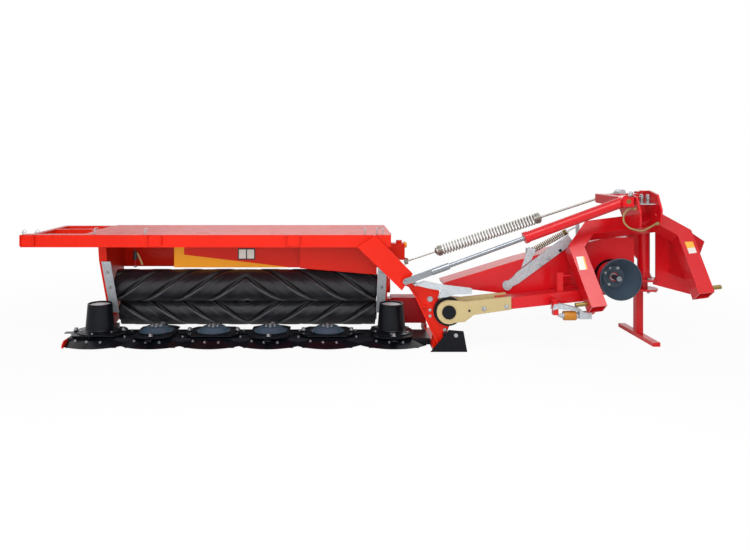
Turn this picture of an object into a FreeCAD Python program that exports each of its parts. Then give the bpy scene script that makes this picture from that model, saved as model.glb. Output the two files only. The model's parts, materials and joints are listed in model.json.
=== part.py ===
"""Rear-mounted disc mower with a rubber roller conditioner, parked on its cutterbar and stand.

Millimetres. The origin is the middle of the stand foot's sole, on the ground. +X is the machine's left
(the hitch side of this right-hand mower), +Y points rearward, away from the tractor, and +Z is up.
"""

import FreeCAD
import Part
import math
import os
import Sketcher

vector = FreeCAD.Vector

# name, value, what it measures; a place is measured from the origin along the axis that it names
SHEET_ROWS = (
    ("outer_rotor", -3840, "X of the outermost rotor"),
    ("disc_pitch", 400, "between the axes of neighbouring discs"),
    ("inner_pitch", 450, "between the last disc and the inner drum"),
    ("rotor_line", -118, "Y of the rotor axes"),
    ("bed_low", 8, "Z of the gear bed's underside"),
    ("bed_high", 48, "Z of the gear bed's top"),
    ("bed_front", -250, "Y of the gear bed's front"),
    ("bed_back", 20, "Y of the gear bed's back"),
    ("bed_overhang", 180, "gear bed past the outermost rotor"),
    ("bed_inner_end", 255, "gear bed past the innermost rotor"),
    ("bed_foot_reach", 210, "side plate feet behind the gear bed"),
    ("bed_foot_width", 54, "width of the side plate feet"),
    ("bed_foot_low", 10, "Z of the underside of the side plate feet"),
    ("bed_chamfer", 14, "bevel along the gear bed's top edges"),
    ("boss_radius", 62, "rotor boss on the gear bed"),
    ("running", 0.3, "running clearance between pieces that turn on each other"),
    ("disc_low", 58, "Z of the disc hub's underside"),
    ("disc_seat", 2, "height of the disc plate over the hub's underside"),
    ("disc_skin", 6, "disc plate thickness"),
    ("disc_long", 190, "long radius of the oval disc"),
    ("disc_short", 135, "short radius of the oval disc"),
    ("dome_radius", 108, "foot of the disc's dome"),
    ("dome_high", 39, "dome above the disc plate"),
    ("knife_tip", 245, "radius that the knives sweep"),
    ("knife_root", 150, "radius of the knife's inner end"),
    ("knife_width", 46, "knife width"),
    ("knife_thick", 4, "knife thickness"),
    ("knife_bolt", 168, "distance of the knife bolts from the rotor axis"),
    ("knife_bolt_radius", 13, "knife bolt radius"),
    ("knife_bolt_head", 9, "knife bolt above the disc plate"),
    ("drum_low_radius", 98, "drum radius at its foot"),
    ("drum_top_radius", 83, "drum radius at its top"),
    ("drum_high", 198, "drum height above the disc plate"),
    ("drum_flange", 150, "radius of the drum's foot flange"),
    ("drum_recess", 18, "depth of the drum's open top"),
    ("drum_wall", 7, "drum wall"),
    ("skid_lip_radius", 298, "curve of each skid's front lip"),
    ("skid_centre", -75, "Y of the centre of the skids' front curve"),
    ("skid_lip", 8, "height of the skid's lip"),
    ("skid_high", 40, "height of the skid guard at the gear bed"),
    ("skid_slope", 83, "how far the guard slopes back from its lip"),
    ("skid_undercut", 28, "how far the lip's underside draws in"),
    ("sole_half", 170, "half width of each skid's sole"),
    ("sole_front", 60, "sole in front of the gear bed"),
    ("shoe_plate", 8, "thickness of the shoes' plates"),
    ("upper_roller_y", 132, "Y of the upper roller's axis"),
    ("upper_roller_z", 345, "Z of the upper roller's axis"),
    ("upper_roller_tip", 118, "upper roller radius over the lugs"),
    ("lower_roller_y", 249, "Y of the lower roller's axis"),
    ("lower_roller_z", 140, "Z of the lower roller's axis"),
    ("lower_roller_tip", 112, "lower roller radius over the lugs"),
    ("roller_outer_gap", 41, "outer side plate to the rubber"),
    ("roller_inner_gap", 63, "inner side plate to the rubber"),
    ("lug_depth", 17, "depth of the grooves between the rubber lugs"),
    ("lug_lead", 940, "length in which a lug winds once around"),
    ("lug_starts", 4, "lugs around the roller"),
    ("shaft_radius", 25, "roller shaft radius"),
    ("bearing_radius", 55, "roller bearing housing radius"),
    ("bearing_depth", 30, "roller bearing housing depth"),
    ("bearing_inset", 4, "roller shaft's end inside its bearing housing"),
    ("cover_set_back", 20, "cover's inner edge from the innermost rotor's axis"),
    ("cover_top", 774, "Z of the cover's top"),
    ("cover_sheet", 4, "cover sheet thickness"),
    ("slot_back", 120, "cover slots behind the front beam's face"),
    ("slot_width", 14, "width of the cover slots"),
    ("beam_front", -403, "Y of the front beam's face"),
    ("beam_depth", 80, "front beam depth"),
    ("beam_high", 82, "front beam height"),
    ("beam_wall", 4, "front beam wall"),
    ("beam_reach", 433, "front beam past the cover sheet"),
    ("beam_setback", 8, "front beam's inner end from the cover's inner edge"),
    ("holder_half", 48, "half width of the curtain holders on the beam"),
    ("holder_depth", 18, "how far the curtain holders stand out"),
    ("holder_sheet", 5, "curtain holder sheet thickness"),
    ("cover_bend", 287, "Y where the cover bends down"),
    ("hood_back", 415, "Y of the hood's back"),
    ("hood_knee", 600, "Z of the hood's lower bend"),
    ("hood_low", 440, "Z of the hood's lower edge"),
    ("plate_thick", 8, "side plate thickness"),
    ("foot_high", 44, "Z of the side plates' feet"),
    ("tube_side", 40, "end frame tube, square"),
    ("tube_wall", 3, "wall of the end frame's tubes"),
    ("frame_out", 400, "end frame past the cover sheet"),
    ("frame_mid", 20, "Y of the end frame's middle tube"),
    ("frame_drop", 4, "end frame below the cover's top"),
    ("strip_width", 60, "width of the galvanised strips"),
    ("strip_sheet", 4, "thickness of the galvanised strips"),
    ("panel_line", 130, "Y of the front panel's face"),
    ("panel_outer", -3376, "X of the front panel's outer edge"),
    ("panel_low", 475, "Z of the front panel's lower edge"),
    ("stripe_width", 74, "yellow upright stripe's width"),
    ("stripe_knee", 569, "Z where the yellow wedge starts"),
    ("stripe_point", -2533, "X of the yellow wedge's point"),
    ("pivot_x", -1435.5, "X of the lift pivot"),
    ("pivot_z", 264, "Z of the lift pivot"),
    ("pivot_pin", 40, "lift pivot pin radius"),
    ("pivot_cap", 45.7, "radius of the cap on the pivot pin"),
    ("eye_radius", 79, "radius of the arm plates' eye"),
    ("flange_radius", 97, "radius of the black hub flange"),
    ("flange_front", -385, "Y of the black hub flange's face"),
    ("hub_radius", 58, "radius of the mower's hub between the arm plates"),
    ("arm_front", -390, "Y of the arm tube's front"),
    ("arm_back", -270, "Y of the arm tube's back"),
    ("arm_plate", 20, "arm plate thickness"),
    ("arm_high", 76, "arm tube height"),
    ("bracket_front", -360, "Y of the mower bracket's front"),
    ("bracket_thick", 15, "mower bracket thickness"),
    ("bracket_flange", 30, "how far the bracket's edge is folded forward"),
    ("channel_front", -430, "Y of the oblique channel's face"),
    ("channel_sheet", 8, "oblique channel's plate thickness"),
    ("lever_front", -447, "Y of the latch plate's face"),
    ("lever_thick", 12, "latch plate thickness"),
    ("lever_boss", 12, "radius of the latch plate's bosses"),
    ("guard_front", -200, "Y of the belt guard's front"),
    ("guard_back", -5, "Y of the belt guard's back"),
    ("guard_sheet", 4, "belt guard sheet thickness"),
    ("guard_right", -118, "X of the belt guard's end at the column"),
    ("shaft_x", -282, "X of the input shaft"),
    ("shaft_z", 472, "Z of the input shaft"),
    ("stub_radius", 17.5, "input stub shaft radius"),
    ("dish_rim", 140, "radius of the input shield's rim"),
    ("dish_base", 76, "radius of the input shield's base"),
    ("dish_front", -373, "Y of the input shield's rim"),
    ("dish_back", -250, "Y of the input shield's base"),
    ("dish_wall", 5, "input shield wall"),
    ("casing_radius", 100, "input bearing casing radius"),
    ("casing_nose", 70, "radius of the casing's nose behind the shield"),
    ("ring_radius", 114, "radius of the black ring behind the casing"),
    ("ring_thick", 12, "thickness of the black ring"),
    ("column_y", -83, "Y of the breakaway column"),
    ("column_pin", 28, "column pin radius"),
    ("sleeve_radius", 42, "column sleeve radius"),
    ("sleeve_low", 470, "Z of the sleeve's lower end"),
    ("sleeve_high", 970, "Z of the sleeve's upper end"),
    ("turret_low", 972, "Z of the turret's underside"),
    ("turret_high", 1030, "Z of the turret's top"),
    ("cylinder_y", -475, "Y of the lift cylinder"),
    ("cylinder_top_x", -300, "X of the cylinder's upper pin"),
    ("cylinder_top_z", 1003, "Z of the cylinder's upper pin"),
    ("rod_eye_x", -1727, "X of the rod's eye"),
    ("rod_eye_z", 478.5, "Z of the rod's eye"),
    ("barrel_radius", 35, "cylinder barrel radius"),
    ("cylinder_pin", 15, "radius of the cylinder's upper pin"),
    ("barrel_length", 700, "cylinder barrel from the upper pin"),
    ("rod_radius", 15, "cylinder rod radius"),
    ("rod_sleeve", 22.5, "radius of the rod's fork socket"),
    ("spring_y", 50, "Y of the balance spring"),
    ("spring_top_x", -133, "X of the balance spring's upper pin"),
    ("spring_top_z", 1037, "Z of the balance spring's upper pin"),
    ("spring_foot_x", -1669, "X of the balance spring's lower pin"),
    ("spring_foot_z", 531, "Z of the balance spring's lower pin"),
    ("coil_radius", 39, "balance spring coil radius"),
    ("coil_wire", 8, "balance spring wire"),
    ("coil_foot", 241, "coil's lower end from the lower pin"),
    ("coil_length", 786, "coil length at rest"),
    ("spring_rod", 5, "balance spring rod radius"),
    ("lock_spring_y", -150, "Y of the small spring over the belt guard"),
    ("lock_spring_radius", 21, "radius of the small spring"),
    ("lock_rod", 6, "radius of the small spring's rod"),
    ("brace_wide", 68, "width of the brace"),
    ("brace_thick", 17, "depth of the brace's channel"),
    ("brace_sheet", 6, "brace sheet thickness"),
    ("brace_eye", 33, "radius of the brace's lower eye"),
    ("arch_tube", 100, "headstock tube width"),
    ("arch_depth", 108, "headstock tube depth"),
    ("arch_wall", 8, "headstock tube wall"),
    ("arch_lean", 32.4, "degrees that the headstock leans back"),
    ("arch_roll", 7.2, "degrees that the headstock stands higher on the left of the machine"),
    ("arch_top", 480, "height of the arch's cross tube along its lean"),
    ("arch_shoulder", 356, "height of the arch's lower bend along its lean"),
    ("arch_foot", -68, "height of the legs' lower ends along their lean"),
    ("arch_top_half", 237, "half width of the arch at its upper bends"),
    ("arch_shoulder_half", 363, "half width of the arch at its lower bends"),
    ("arch_foot_half", 343, "half width of the arch at its feet"),
    ("hitch_pin", 14, "lower hitch pin radius"),
    ("hitch_pin_length", 76, "free length of the lower hitch pins"),
    ("hitch_pin_rise", 45, "lower hitch pins above the legs' ends"),
    ("link_bore", 12.9, "top link pin hole radius"),
    ("ear_gap", 124, "between the top link ears"),
    ("ear_thick", 12, "top link ear thickness"),
    ("ear_start", 14, "inner face of the right ear from the arch's middle"),
    ("link_back", -174, "top link hole behind the arch's front face"),
    ("link_high", 432, "height of the top link hole along the lean"),
    ("stand_side", 50, "stand leg, square"),
    ("stand_foot_length", 560, "stand foot length"),
    ("stand_foot_high", 28, "stand foot height"),
    ("stand_top", 440, "Z of the stand leg's upper end"),
    ("socket_wall", 6, "stand socket wall"),
    ("socket_play", 0.4, "play of the leg in its socket"),
    ("socket_low", 330, "Z of the socket's lower end"),
    ("socket_high", 460, "Z of the socket's upper end"),
    ("plate_radius", 92, "radius of the column's two round plates"),
    ("round_plate", 14, "thickness of the column's round plates"),
    ("low_plate_z", 352, "Z of the lower round plate"),
    ("high_plate_z", 420, "Z of the upper round plate"),
    ("buffer_radius", 31, "radius of the release buffer"),
    ("buffer_length", 78, "length of the release buffer"),
    ("hose_radius", 5.5, "hydraulic hose radius"),
)

doc = FreeCAD.newDocument("DiscMower")
sheet = doc.addObject("Spreadsheet::Sheet", "Sizes")


class Size:
    """A length from the sheet, or worked out from such lengths, with the expression that gives it."""

    def __init__(self, value, text):
        self.value = float(value)
        self.text = text

    def __add__(self, other):
        other = size_of(other)
        return Size(self.value + other.value, f"({self.text} + {other.text})")

    def __sub__(self, other):
        other = size_of(other)
        return Size(self.value - other.value, f"({self.text} - {other.text})")

    def __mul__(self, factor):
        factor = size_of(factor)
        return Size(self.value * factor.value, f"({self.text} * {factor.text})")

    def __truediv__(self, divisor):
        divisor = size_of(divisor)
        return Size(self.value / divisor.value, f"({self.text} / {divisor.text})")

    def __radd__(self, other):
        return size_of(other) + self

    def __rsub__(self, other):
        return size_of(other) - self

    def __rmul__(self, factor):
        return size_of(factor) * self

    def __neg__(self):
        return Size(-self.value, f"(-1 * {self.text})")


def size_of(number):
    return number if isinstance(number, Size) else Size(number, f"({number})")


class Sizes:
    """Each named size of the sheet, as an attribute."""


s = Sizes()
for row, (name, value, meaning) in enumerate(SHEET_ROWS, start=1):
    sheet.set(f"A{row}", name)
    sheet.set(f"B{row}", str(value))
    sheet.set(f"C{row}", meaning)
    sheet.setAlias(f"B{row}", name)
    setattr(s, name, Size(value, f"Sizes.{name}"))
doc.recompute()

nodes = []
Z_TO_X = FreeCAD.Rotation(vector(0, 1, 0), 90)
Z_TO_Y = FreeCAD.Rotation(vector(1, 0, 0), -90)
Z_UP = FreeCAD.Rotation()


def bind(thing, name, size):
    """Binds one property of an object to a size."""
    thing.setExpression(name, size_of(size).text)


def place(thing, base=(0, 0, 0), rotation=Z_UP):
    thing.Placement = FreeCAD.Placement(vector(*(size_of(b).value for b in base)), rotation)
    for axis, size in zip("xyz", base):
        if isinstance(size, Size):
            bind(thing, f"Placement.Base.{axis}", size)
    return thing


def node(name, thing):
    """Names a finished sub-part, whose shape becomes its own file."""
    thing.Label = name
    nodes.append(thing)
    return thing


def box(name, x, y, z):
    """A block between two places on each axis."""
    block = doc.addObject("Part::Box", name)
    for side, (low, high) in zip(("Length", "Width", "Height"), (x, y, z)):
        bind(block, side, size_of(high) - low)
    return place(block, (x[0], y[0], z[0]))


def cylinder(name, radius, length, base=(0, 0, 0), rotation=Z_UP):
    bar = doc.addObject("Part::Cylinder", name)
    bind(bar, "Radius", radius)
    bind(bar, "Height", length)
    return place(bar, base, rotation)


def cone(name, low_radius, high_radius, length, base=(0, 0, 0), rotation=Z_UP):
    bar = doc.addObject("Part::Cone", name)
    bind(bar, "Radius1", low_radius)
    bind(bar, "Radius2", high_radius)
    bind(bar, "Height", length)
    return place(bar, base, rotation)


def fuse(name, *pieces):
    joined = doc.addObject("Part::MultiFuse", name)
    joined.Shapes = list(pieces)
    joined.Refine = True
    return joined


def cut(name, base, tool):
    left = doc.addObject("Part::Cut", name)
    left.Base = base
    left.Tool = tool
    return left


def common(name, *pieces):
    shared = doc.addObject("Part::MultiCommon", name)
    shared.Shapes = list(pieces)
    return shared


def together(name, *pieces):
    """Pieces of one kind that do not touch, kept as one sub-part."""
    group = doc.addObject("Part::Compound", name)
    group.Links = list(pieces)
    return group


def draw(body, role, points, circles=()):
    """Draws an outline and round holes on one of the body's own planes, each place bound to its size."""
    sketch = body.newObject("Sketcher::SketchObject", f"{body.Name}Sketch")
    plane = next(f for f in body.Origin.OriginFeatures if f.Role == role)
    sketch.AttachmentSupport = (plane, [""])
    sketch.MapMode = "FlatFace"
    places = [(size_of(u), size_of(v)) for u, v in points]
    count = len(places)
    for index, (u, v) in enumerate(places):
        after = places[(index + 1) % count]
        line = Part.LineSegment(vector(u.value, v.value, 0), vector(after[0].value, after[1].value, 0))
        sketch.addGeometry(line, False)
    for index in range(count):
        sketch.addConstraint(Sketcher.Constraint("Coincident", index, 2, (index + 1) % count, 1))
    for index, (u, v) in enumerate(places):
        for kind, size in (("DistanceX", u), ("DistanceY", v)):
            number = sketch.addConstraint(Sketcher.Constraint(kind, -1, 1, index, 1, size.value))
            bind(sketch, f"Constraints[{number}]", size)
    for u, v, radius in circles:
        u, v, radius = size_of(u), size_of(v), size_of(radius)
        ring = Part.Circle(vector(u.value, v.value, 0), vector(0, 0, 1), radius.value)
        index = sketch.addGeometry(ring, False)
        for kind, size in (("DistanceX", u), ("DistanceY", v)):
            number = sketch.addConstraint(Sketcher.Constraint(kind, -1, 1, index, 3, size.value))
            bind(sketch, f"Constraints[{number}]", size)
        number = sketch.addConstraint(Sketcher.Constraint("Radius", index, radius.value))
        bind(sketch, f"Constraints[{number}]", radius)
    return sketch


def pad(name, role, points, depth, base=(0, 0, 0), rotation=Z_UP, circles=(), forward=False):
    """A plate: an outline padded along the plane's positive axis, or against it."""
    body = doc.addObject("PartDesign::Body", name)
    sketch = draw(body, role, points, circles)
    plate = body.newObject("PartDesign::Pad", f"{name}Pad")
    plate.Profile = sketch
    bind(plate, "Length", depth)
    # the XZ plane's own normal points forward, against +Y
    plate.Reversed = (role == "XZ_Plane") != forward
    sketch.Visibility = False
    return place(body, base, rotation)


def turned(name, points, base=(0, 0, 0), rotation=Z_UP):
    """A body of revolution about its own Z axis; the points are radius and height."""
    body = doc.addObject("PartDesign::Body", name)
    sketch = draw(body, "XZ_Plane", points)
    turn = body.newObject("PartDesign::Revolution", f"{name}Turn")
    turn.Profile = sketch
    turn.ReferenceAxis = (sketch, ["V_Axis"])
    turn.Angle = 360
    return place(body, base, rotation)


def around(x, z, offsets):
    """An outline given as distances across and up from one point."""
    return tuple((size_of(x) + across, size_of(z) + above) for across, above in offsets)


def inset(outline, wall):
    """The outline drawn in by a wall; its corners run anticlockwise or clockwise, all of them convex."""
    points = [(size_of(u).value, size_of(v).value) for u, v in outline]
    area = sum(a[0] * b[1] - b[0] * a[1] for a, b in zip(points, points[1:] + points[:1]))
    sign = 1 if area > 0 else -1
    count = len(points)
    lines = []
    for i in range(count):
        (u0, v0), (u1, v1) = points[i], points[(i + 1) % count]
        length = math.hypot(u1 - u0, v1 - v0)
        du, dv = (u1 - u0) / length, (v1 - v0) / length
        lines.append((u0 - dv * wall * sign, v0 + du * wall * sign, du, dv))
    corners = []
    for i in range(count):
        u0, v0, du0, dv0 = lines[i - 1]
        u1, v1, du1, dv1 = lines[i]
        turn = du0 * dv1 - dv0 * du1
        step = ((u1 - u0) * dv1 - (v1 - v0) * du1) / turn
        corners.append((u0 + du0 * step, v0 + dv0 * step))
    return tuple(corners)


def along(start, end):
    """The placement that carries the Z axis onto the line from start to end."""
    return FreeCAD.Placement(start, FreeCAD.Rotation(vector(0, 0, 1), end - start))


def point(x, y, z):
    return vector(size_of(x).value, size_of(y).value, size_of(z).value)


def on_line(thing, line, start):
    """Sets a bar on a line, its foot at a distance from the line's start."""
    shift = FreeCAD.Placement(vector(0, 0, size_of(start).value), FreeCAD.Rotation())
    thing.Placement = line.multiply(shift)
    return thing


# Rotors
last = 5
rotor_x = [s.outer_rotor + s.disc_pitch * i for i in range(last)]
rotor_x.append(rotor_x[-1] + s.inner_pitch)
plate_low = s.disc_low + s.disc_seat
plate_high = plate_low + s.disc_skin
knife_low = s.disc_low - s.knife_thick
tall = 200  # taller than any rotor disc
round_corner = 10


def oval_disc(name):
    """A domed disc with two flats, and a swinging knife bolted under each end."""
    dish = turned(
        f"{name}Dish",
        (
            (0, s.disc_low),
            (s.boss_radius, s.disc_low),
            (s.boss_radius, plate_low),
            (s.disc_long, plate_low),
            (s.disc_long, plate_high),
            (s.dome_radius + 30, plate_high + 2),
            (s.dome_radius, plate_high + 10),
            (s.dome_radius * 0.7, plate_high + s.dome_high - 6),
            (s.dome_radius * 0.42, plate_high + s.dome_high),
            (0, plate_high + s.dome_high),
        ),
    )
    flats = box(f"{name}Flats", (-s.disc_long, s.disc_long), (-s.disc_short, s.disc_short), (0, tall))
    sweep = cylinder(f"{name}Sweep", s.knife_tip, tall)
    pieces = [common(f"{name}Oval", dish, flats)]
    for end, turn in (("Near", 0), ("Far", 180)):
        about = FreeCAD.Rotation(vector(0, 0, 1), turn)
        blade = box(
            f"{name}{end}Blade",
            (s.knife_root, s.knife_tip + round_corner),
            (-s.knife_width / 2, s.knife_width / 2),
            (knife_low, knife_low + s.knife_thick),
        )
        knife = common(f"{name}{end}Knife", blade, sweep)
        knife.Placement = FreeCAD.Placement(vector(0, 0, 0), about)
        bolt = cylinder(f"{name}{end}Bolt", s.knife_bolt_radius, plate_high + s.knife_bolt_head - knife_low)
        side = 1 if turn == 0 else -1
        place(bolt, (s.knife_bolt * side, 0, knife_low))
        pieces += [knife, bolt]
    return pieces


def drum(name):
    """The round drum on an end rotor, with a foot flange and an open top."""
    top = plate_high + s.drum_high
    return turned(
        f"{name}Drum",
        (
            (0, plate_high),
            (s.drum_flange, plate_high),
            (s.drum_flange, plate_high + 8),
            (s.drum_low_radius + 4, plate_high + 18),
            (s.drum_low_radius, plate_high + 24),
            (s.drum_top_radius, top),
            (s.drum_top_radius - s.drum_wall, top),
            (s.drum_top_radius - s.drum_wall, top - s.drum_recess),
            (0, top - s.drum_recess),
        ),
    )


for index, x in enumerate(rotor_x):
    name = f"rotor_disc_{index + 1}"
    pieces = oval_disc(f"Rotor{index + 1}")
    if index in (0, last):
        pieces.append(drum(f"Rotor{index + 1}"))
    rotor = fuse(f"Rotor{index + 1}", *pieces)
    turn = 0 if index % 2 == 0 else 90
    node(name, place(rotor, (x, s.rotor_line, 0), FreeCAD.Rotation(vector(0, 0, 1), turn)))

# Cutterbar
bar_outer = s.outer_rotor - s.bed_overhang
bar_inner = rotor_x[-1] + s.bed_inner_end
bed = pad(
    "Bed",
    "YZ_Plane",
    (
        (s.bed_front, s.bed_low),
        (s.bed_front, s.bed_high - s.bed_chamfer),
        (s.bed_front + s.bed_chamfer, s.bed_high),
        (s.bed_back - s.bed_chamfer, s.bed_high),
        (s.bed_back, s.bed_high - s.bed_chamfer),
        (s.bed_back, s.bed_low),
    ),
    bar_inner - bar_outer,
    (bar_outer, 0, 0),
)
bosses = [
    cylinder(f"Boss{i}", s.boss_radius, s.disc_low - s.running - s.bed_low, (x, s.rotor_line, s.bed_low))
    for i, x in enumerate(rotor_x)
]
cover_outer = s.outer_rotor
cover_inner = rotor_x[-1] - s.cover_set_back
side_outer = (cover_outer, cover_outer + s.plate_thick)
side_inner = (cover_inner - s.plate_thick, cover_inner)
feet_back = s.bed_back + s.bed_foot_reach
feet = []
for i, (near, far) in enumerate((side_outer, side_inner)):
    middle = (near + far) / 2
    half = s.bed_foot_width / 2
    feet.append(
        box(f"BarFoot{i}", (middle - half, middle + half), (s.bed_back, feet_back), (s.bed_foot_low, s.foot_high))
    )
node("cutterbar", fuse("Cutterbar", bed, *bosses, *feet))

# Skids
guards = []
for i, x in enumerate(rotor_x):
    low_radius = s.skid_lip_radius - s.skid_undercut
    lip = cone(f"Lip{i}", low_radius, s.skid_lip_radius, s.skid_lip, (x, s.skid_centre, 0))
    slope = cone(
        f"Slope{i}",
        s.skid_lip_radius,
        s.skid_lip_radius - s.skid_slope,
        s.skid_high - s.skid_lip,
        (x, s.skid_centre, s.skid_lip),
    )
    guards += [lip, slope]
guard_reach = box(
    "GuardReach",
    (bar_outer, bar_inner - s.skid_undercut),
    (s.skid_centre - s.skid_lip_radius, s.bed_front),
    (0, s.skid_high),
)
guard = common("Guard", fuse("Guards", *guards), guard_reach)
soles = [
    box(
        f"Sole{i}",
        (x - s.sole_half, x + s.sole_half),
        (s.bed_front - s.sole_front, s.bed_back),
        (0, s.bed_low),
    )
    for i, x in enumerate(rotor_x)
]
node("skids", fuse("Skids", guard, *soles))
shoe_nose = s.bed_front - 83
shoe_knee = s.bed_front - 50
shoe_top = s.bed_high - 2
shoe_tail = s.bed_front + 180
shoe_low = 2
outer_shoe_outline = (
    (shoe_nose, shoe_low),
    (shoe_nose, 22),
    (shoe_knee, shoe_top),
    (shoe_tail, shoe_top),
    (shoe_tail, shoe_low),
)
outer_shoe = pad(
    "OuterShoe", "YZ_Plane", outer_shoe_outline, s.shoe_plate, (bar_outer - s.shoe_plate, 0, 0)
)
node("outer_shoe", outer_shoe)

# Side plates and covers
sheet_under = s.cover_top - s.cover_sheet
beam_back = s.beam_front + s.beam_depth
beam_under = s.cover_top - s.beam_high
hood = (
    (beam_back, s.cover_top),
    (s.cover_bend, s.cover_top),
    (s.hood_back, s.hood_knee),
    (s.hood_back, s.hood_low),
    (s.hood_back - s.cover_sheet, s.hood_low),
    (s.hood_back - s.cover_sheet, s.hood_knee - 2),
    (s.cover_bend - 2, sheet_under),
    (beam_back, sheet_under),
)
cover_sheet = pad("CoverSheet", "YZ_Plane", hood, cover_inner - cover_outer, (cover_outer, 0, 0))
slot_y = s.beam_front + s.slot_back
slot_half = s.slot_width / 2
# distance from the cover's outer edge, and half length, of the slots in its top
slot_table = ((195, 16), (280, 20), (755, 46), (1231, 20), (1761, 12), (1849, 20))
slots = [
    box(
        f"Slot{i}",
        (cover_outer + start - half, cover_outer + start + half),
        (slot_y - slot_half, slot_y + slot_half),
        (sheet_under, s.cover_top),
    )
    for i, (start, half) in enumerate(slot_table)
]
node("cover", cut("Cover", cover_sheet, fuse("Slots", *slots)))

beam_outer = cover_outer - s.beam_reach
beam_inner_end = cover_inner - s.beam_setback
beam_block = box(
    "BeamBlock", (beam_outer, beam_inner_end), (s.beam_front, beam_back), (beam_under, s.cover_top)
)
beam_core = box(
    "BeamCore",
    (beam_outer, beam_inner_end - s.beam_wall),
    (s.beam_front + s.beam_wall, beam_back - s.beam_wall),
    (beam_under + s.beam_wall, s.cover_top - s.beam_wall),
)
# distance of each curtain holder from the beam's outer end: two cheeks with a sheet between them
holder_front = s.beam_front - s.holder_depth
holder_low = beam_under + 10
holders = []
for i, start in enumerate((51, 893, 1807)):
    middle = beam_outer + start
    for side, edge in (("Left", middle - s.holder_half), ("Right", middle + s.holder_half - s.holder_sheet)):
        cheek = (edge, edge + s.holder_sheet)
        holders.append(
            box(f"Holder{side}{i}", cheek, (holder_front, s.beam_front), (holder_low, s.cover_top))
        )
    across_holder = (middle - s.holder_half, middle + s.holder_half)
    holders.append(
        box(
            f"HolderSheet{i}",
            across_holder,
            (s.beam_front - s.holder_sheet, s.beam_front),
            (holder_low, s.cover_top - s.holder_sheet),
        )
    )
node("front_beam", fuse("FrontBeam", cut("BeamTube", beam_block, beam_core), *holders))


# the side plates' lower tail, their heel over the cutterbar and the neck that rises to the beam
tail_high = s.hood_low - 140
tail_low = s.foot_high + 36
tail_back = s.hood_back - 30
heel_back = s.bed_back + 120
heel_high = s.foot_high + 46
toe_back = s.bed_back + 55
toe_high = s.foot_high + 91
neck = (-138, 567)
neck_top = -160


def side_plate(name, x):
    """One conditioner side plate, bored for the roller bearings."""
    bores = (
        (s.upper_roller_y, s.upper_roller_z, s.shaft_radius + s.running),
        (s.lower_roller_y, s.lower_roller_z, s.shaft_radius + s.running),
    )
    outline = (
        (beam_back, sheet_under),
        (s.cover_bend - 2, sheet_under),
        (s.hood_back - s.cover_sheet, s.hood_knee - 2),
        (s.hood_back - s.cover_sheet, tail_high),
        (tail_back, tail_low),
        (feet_back, s.foot_high),
        (heel_back, s.foot_high),
        (heel_back, heel_high),
        (toe_back, toe_high),
        neck,
        (neck_top, beam_under),
        (beam_back, beam_under),
    )
    return pad(name, "YZ_Plane", outline, s.plate_thick, (x, 0, 0), circles=bores)


def bearing(name, x, y, z):
    ring = cylinder(f"{name}Ring", s.bearing_radius, s.bearing_depth, (x, y, z), Z_TO_X)
    bore = cylinder(f"{name}Bore", s.shaft_radius + s.running, s.bearing_depth + 2, (x - 1, y, z), Z_TO_X)
    return cut(f"{name}Bearing", ring, bore)


for name, x, bearing_x in (
    ("side_plate_outer", side_outer[0], side_outer[0] - s.bearing_depth),
    ("side_plate_inner", side_inner[0], side_inner[1]),
):
    word = "".join(part.title() for part in name.split("_"))
    upper = bearing(f"{word}Upper", bearing_x, s.upper_roller_y, s.upper_roller_z)
    lower = bearing(f"{word}Lower", bearing_x, s.lower_roller_y, s.lower_roller_z)
    node(name, fuse(word, side_plate(f"{word}Sheet", x), upper, lower))

strip_low, strip_high = 160, 560
strip_back, strip_front = 70, -128
strip_outline = (
    (strip_front, strip_high),
    (strip_back, strip_low),
    (strip_back + s.strip_width, strip_low),
    (strip_front + s.strip_width, strip_high),
)
strips = [
    pad(f"Strip{name}", "YZ_Plane", strip_outline, s.strip_sheet, (x, 0, 0))
    for name, x in (("Outer", side_outer[1]), ("Inner", side_inner[0] - s.strip_sheet))
]
node("guard_strips", together("GuardStrips", *strips))

# End frame
frame_outer = cover_outer - s.frame_out
frame_high = s.cover_top - s.frame_drop
frame_low = frame_high - s.tube_side


def frame_tubes(name, shrink):
    """The four tubes of the end frame, or their hollow."""
    z = (frame_low + shrink, frame_high - shrink)
    y = (beam_back + shrink, s.cover_bend - shrink)
    side = s.tube_side
    across_frame = (frame_outer + shrink, cover_outer - shrink)
    outer = box(f"{name}Outer", (frame_outer + shrink, frame_outer + side - shrink), y, z)
    inner = box(f"{name}Inner", (cover_outer - side + shrink, cover_outer - shrink), y, z)
    rear_y = (s.cover_bend - side + shrink, s.cover_bend - shrink)
    rear = box(f"{name}Rear", across_frame, rear_y, z)
    middle_y = (s.frame_mid - side / 2 + shrink, s.frame_mid + side / 2 - shrink)
    middle = box(f"{name}Middle", across_frame, middle_y, z)
    return fuse(f"{name}Tubes", outer, inner, rear, middle)


node("end_frame", cut("EndFrame", frame_tubes("Frame", 0), frame_tubes("Hollow", s.tube_wall)))

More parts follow.
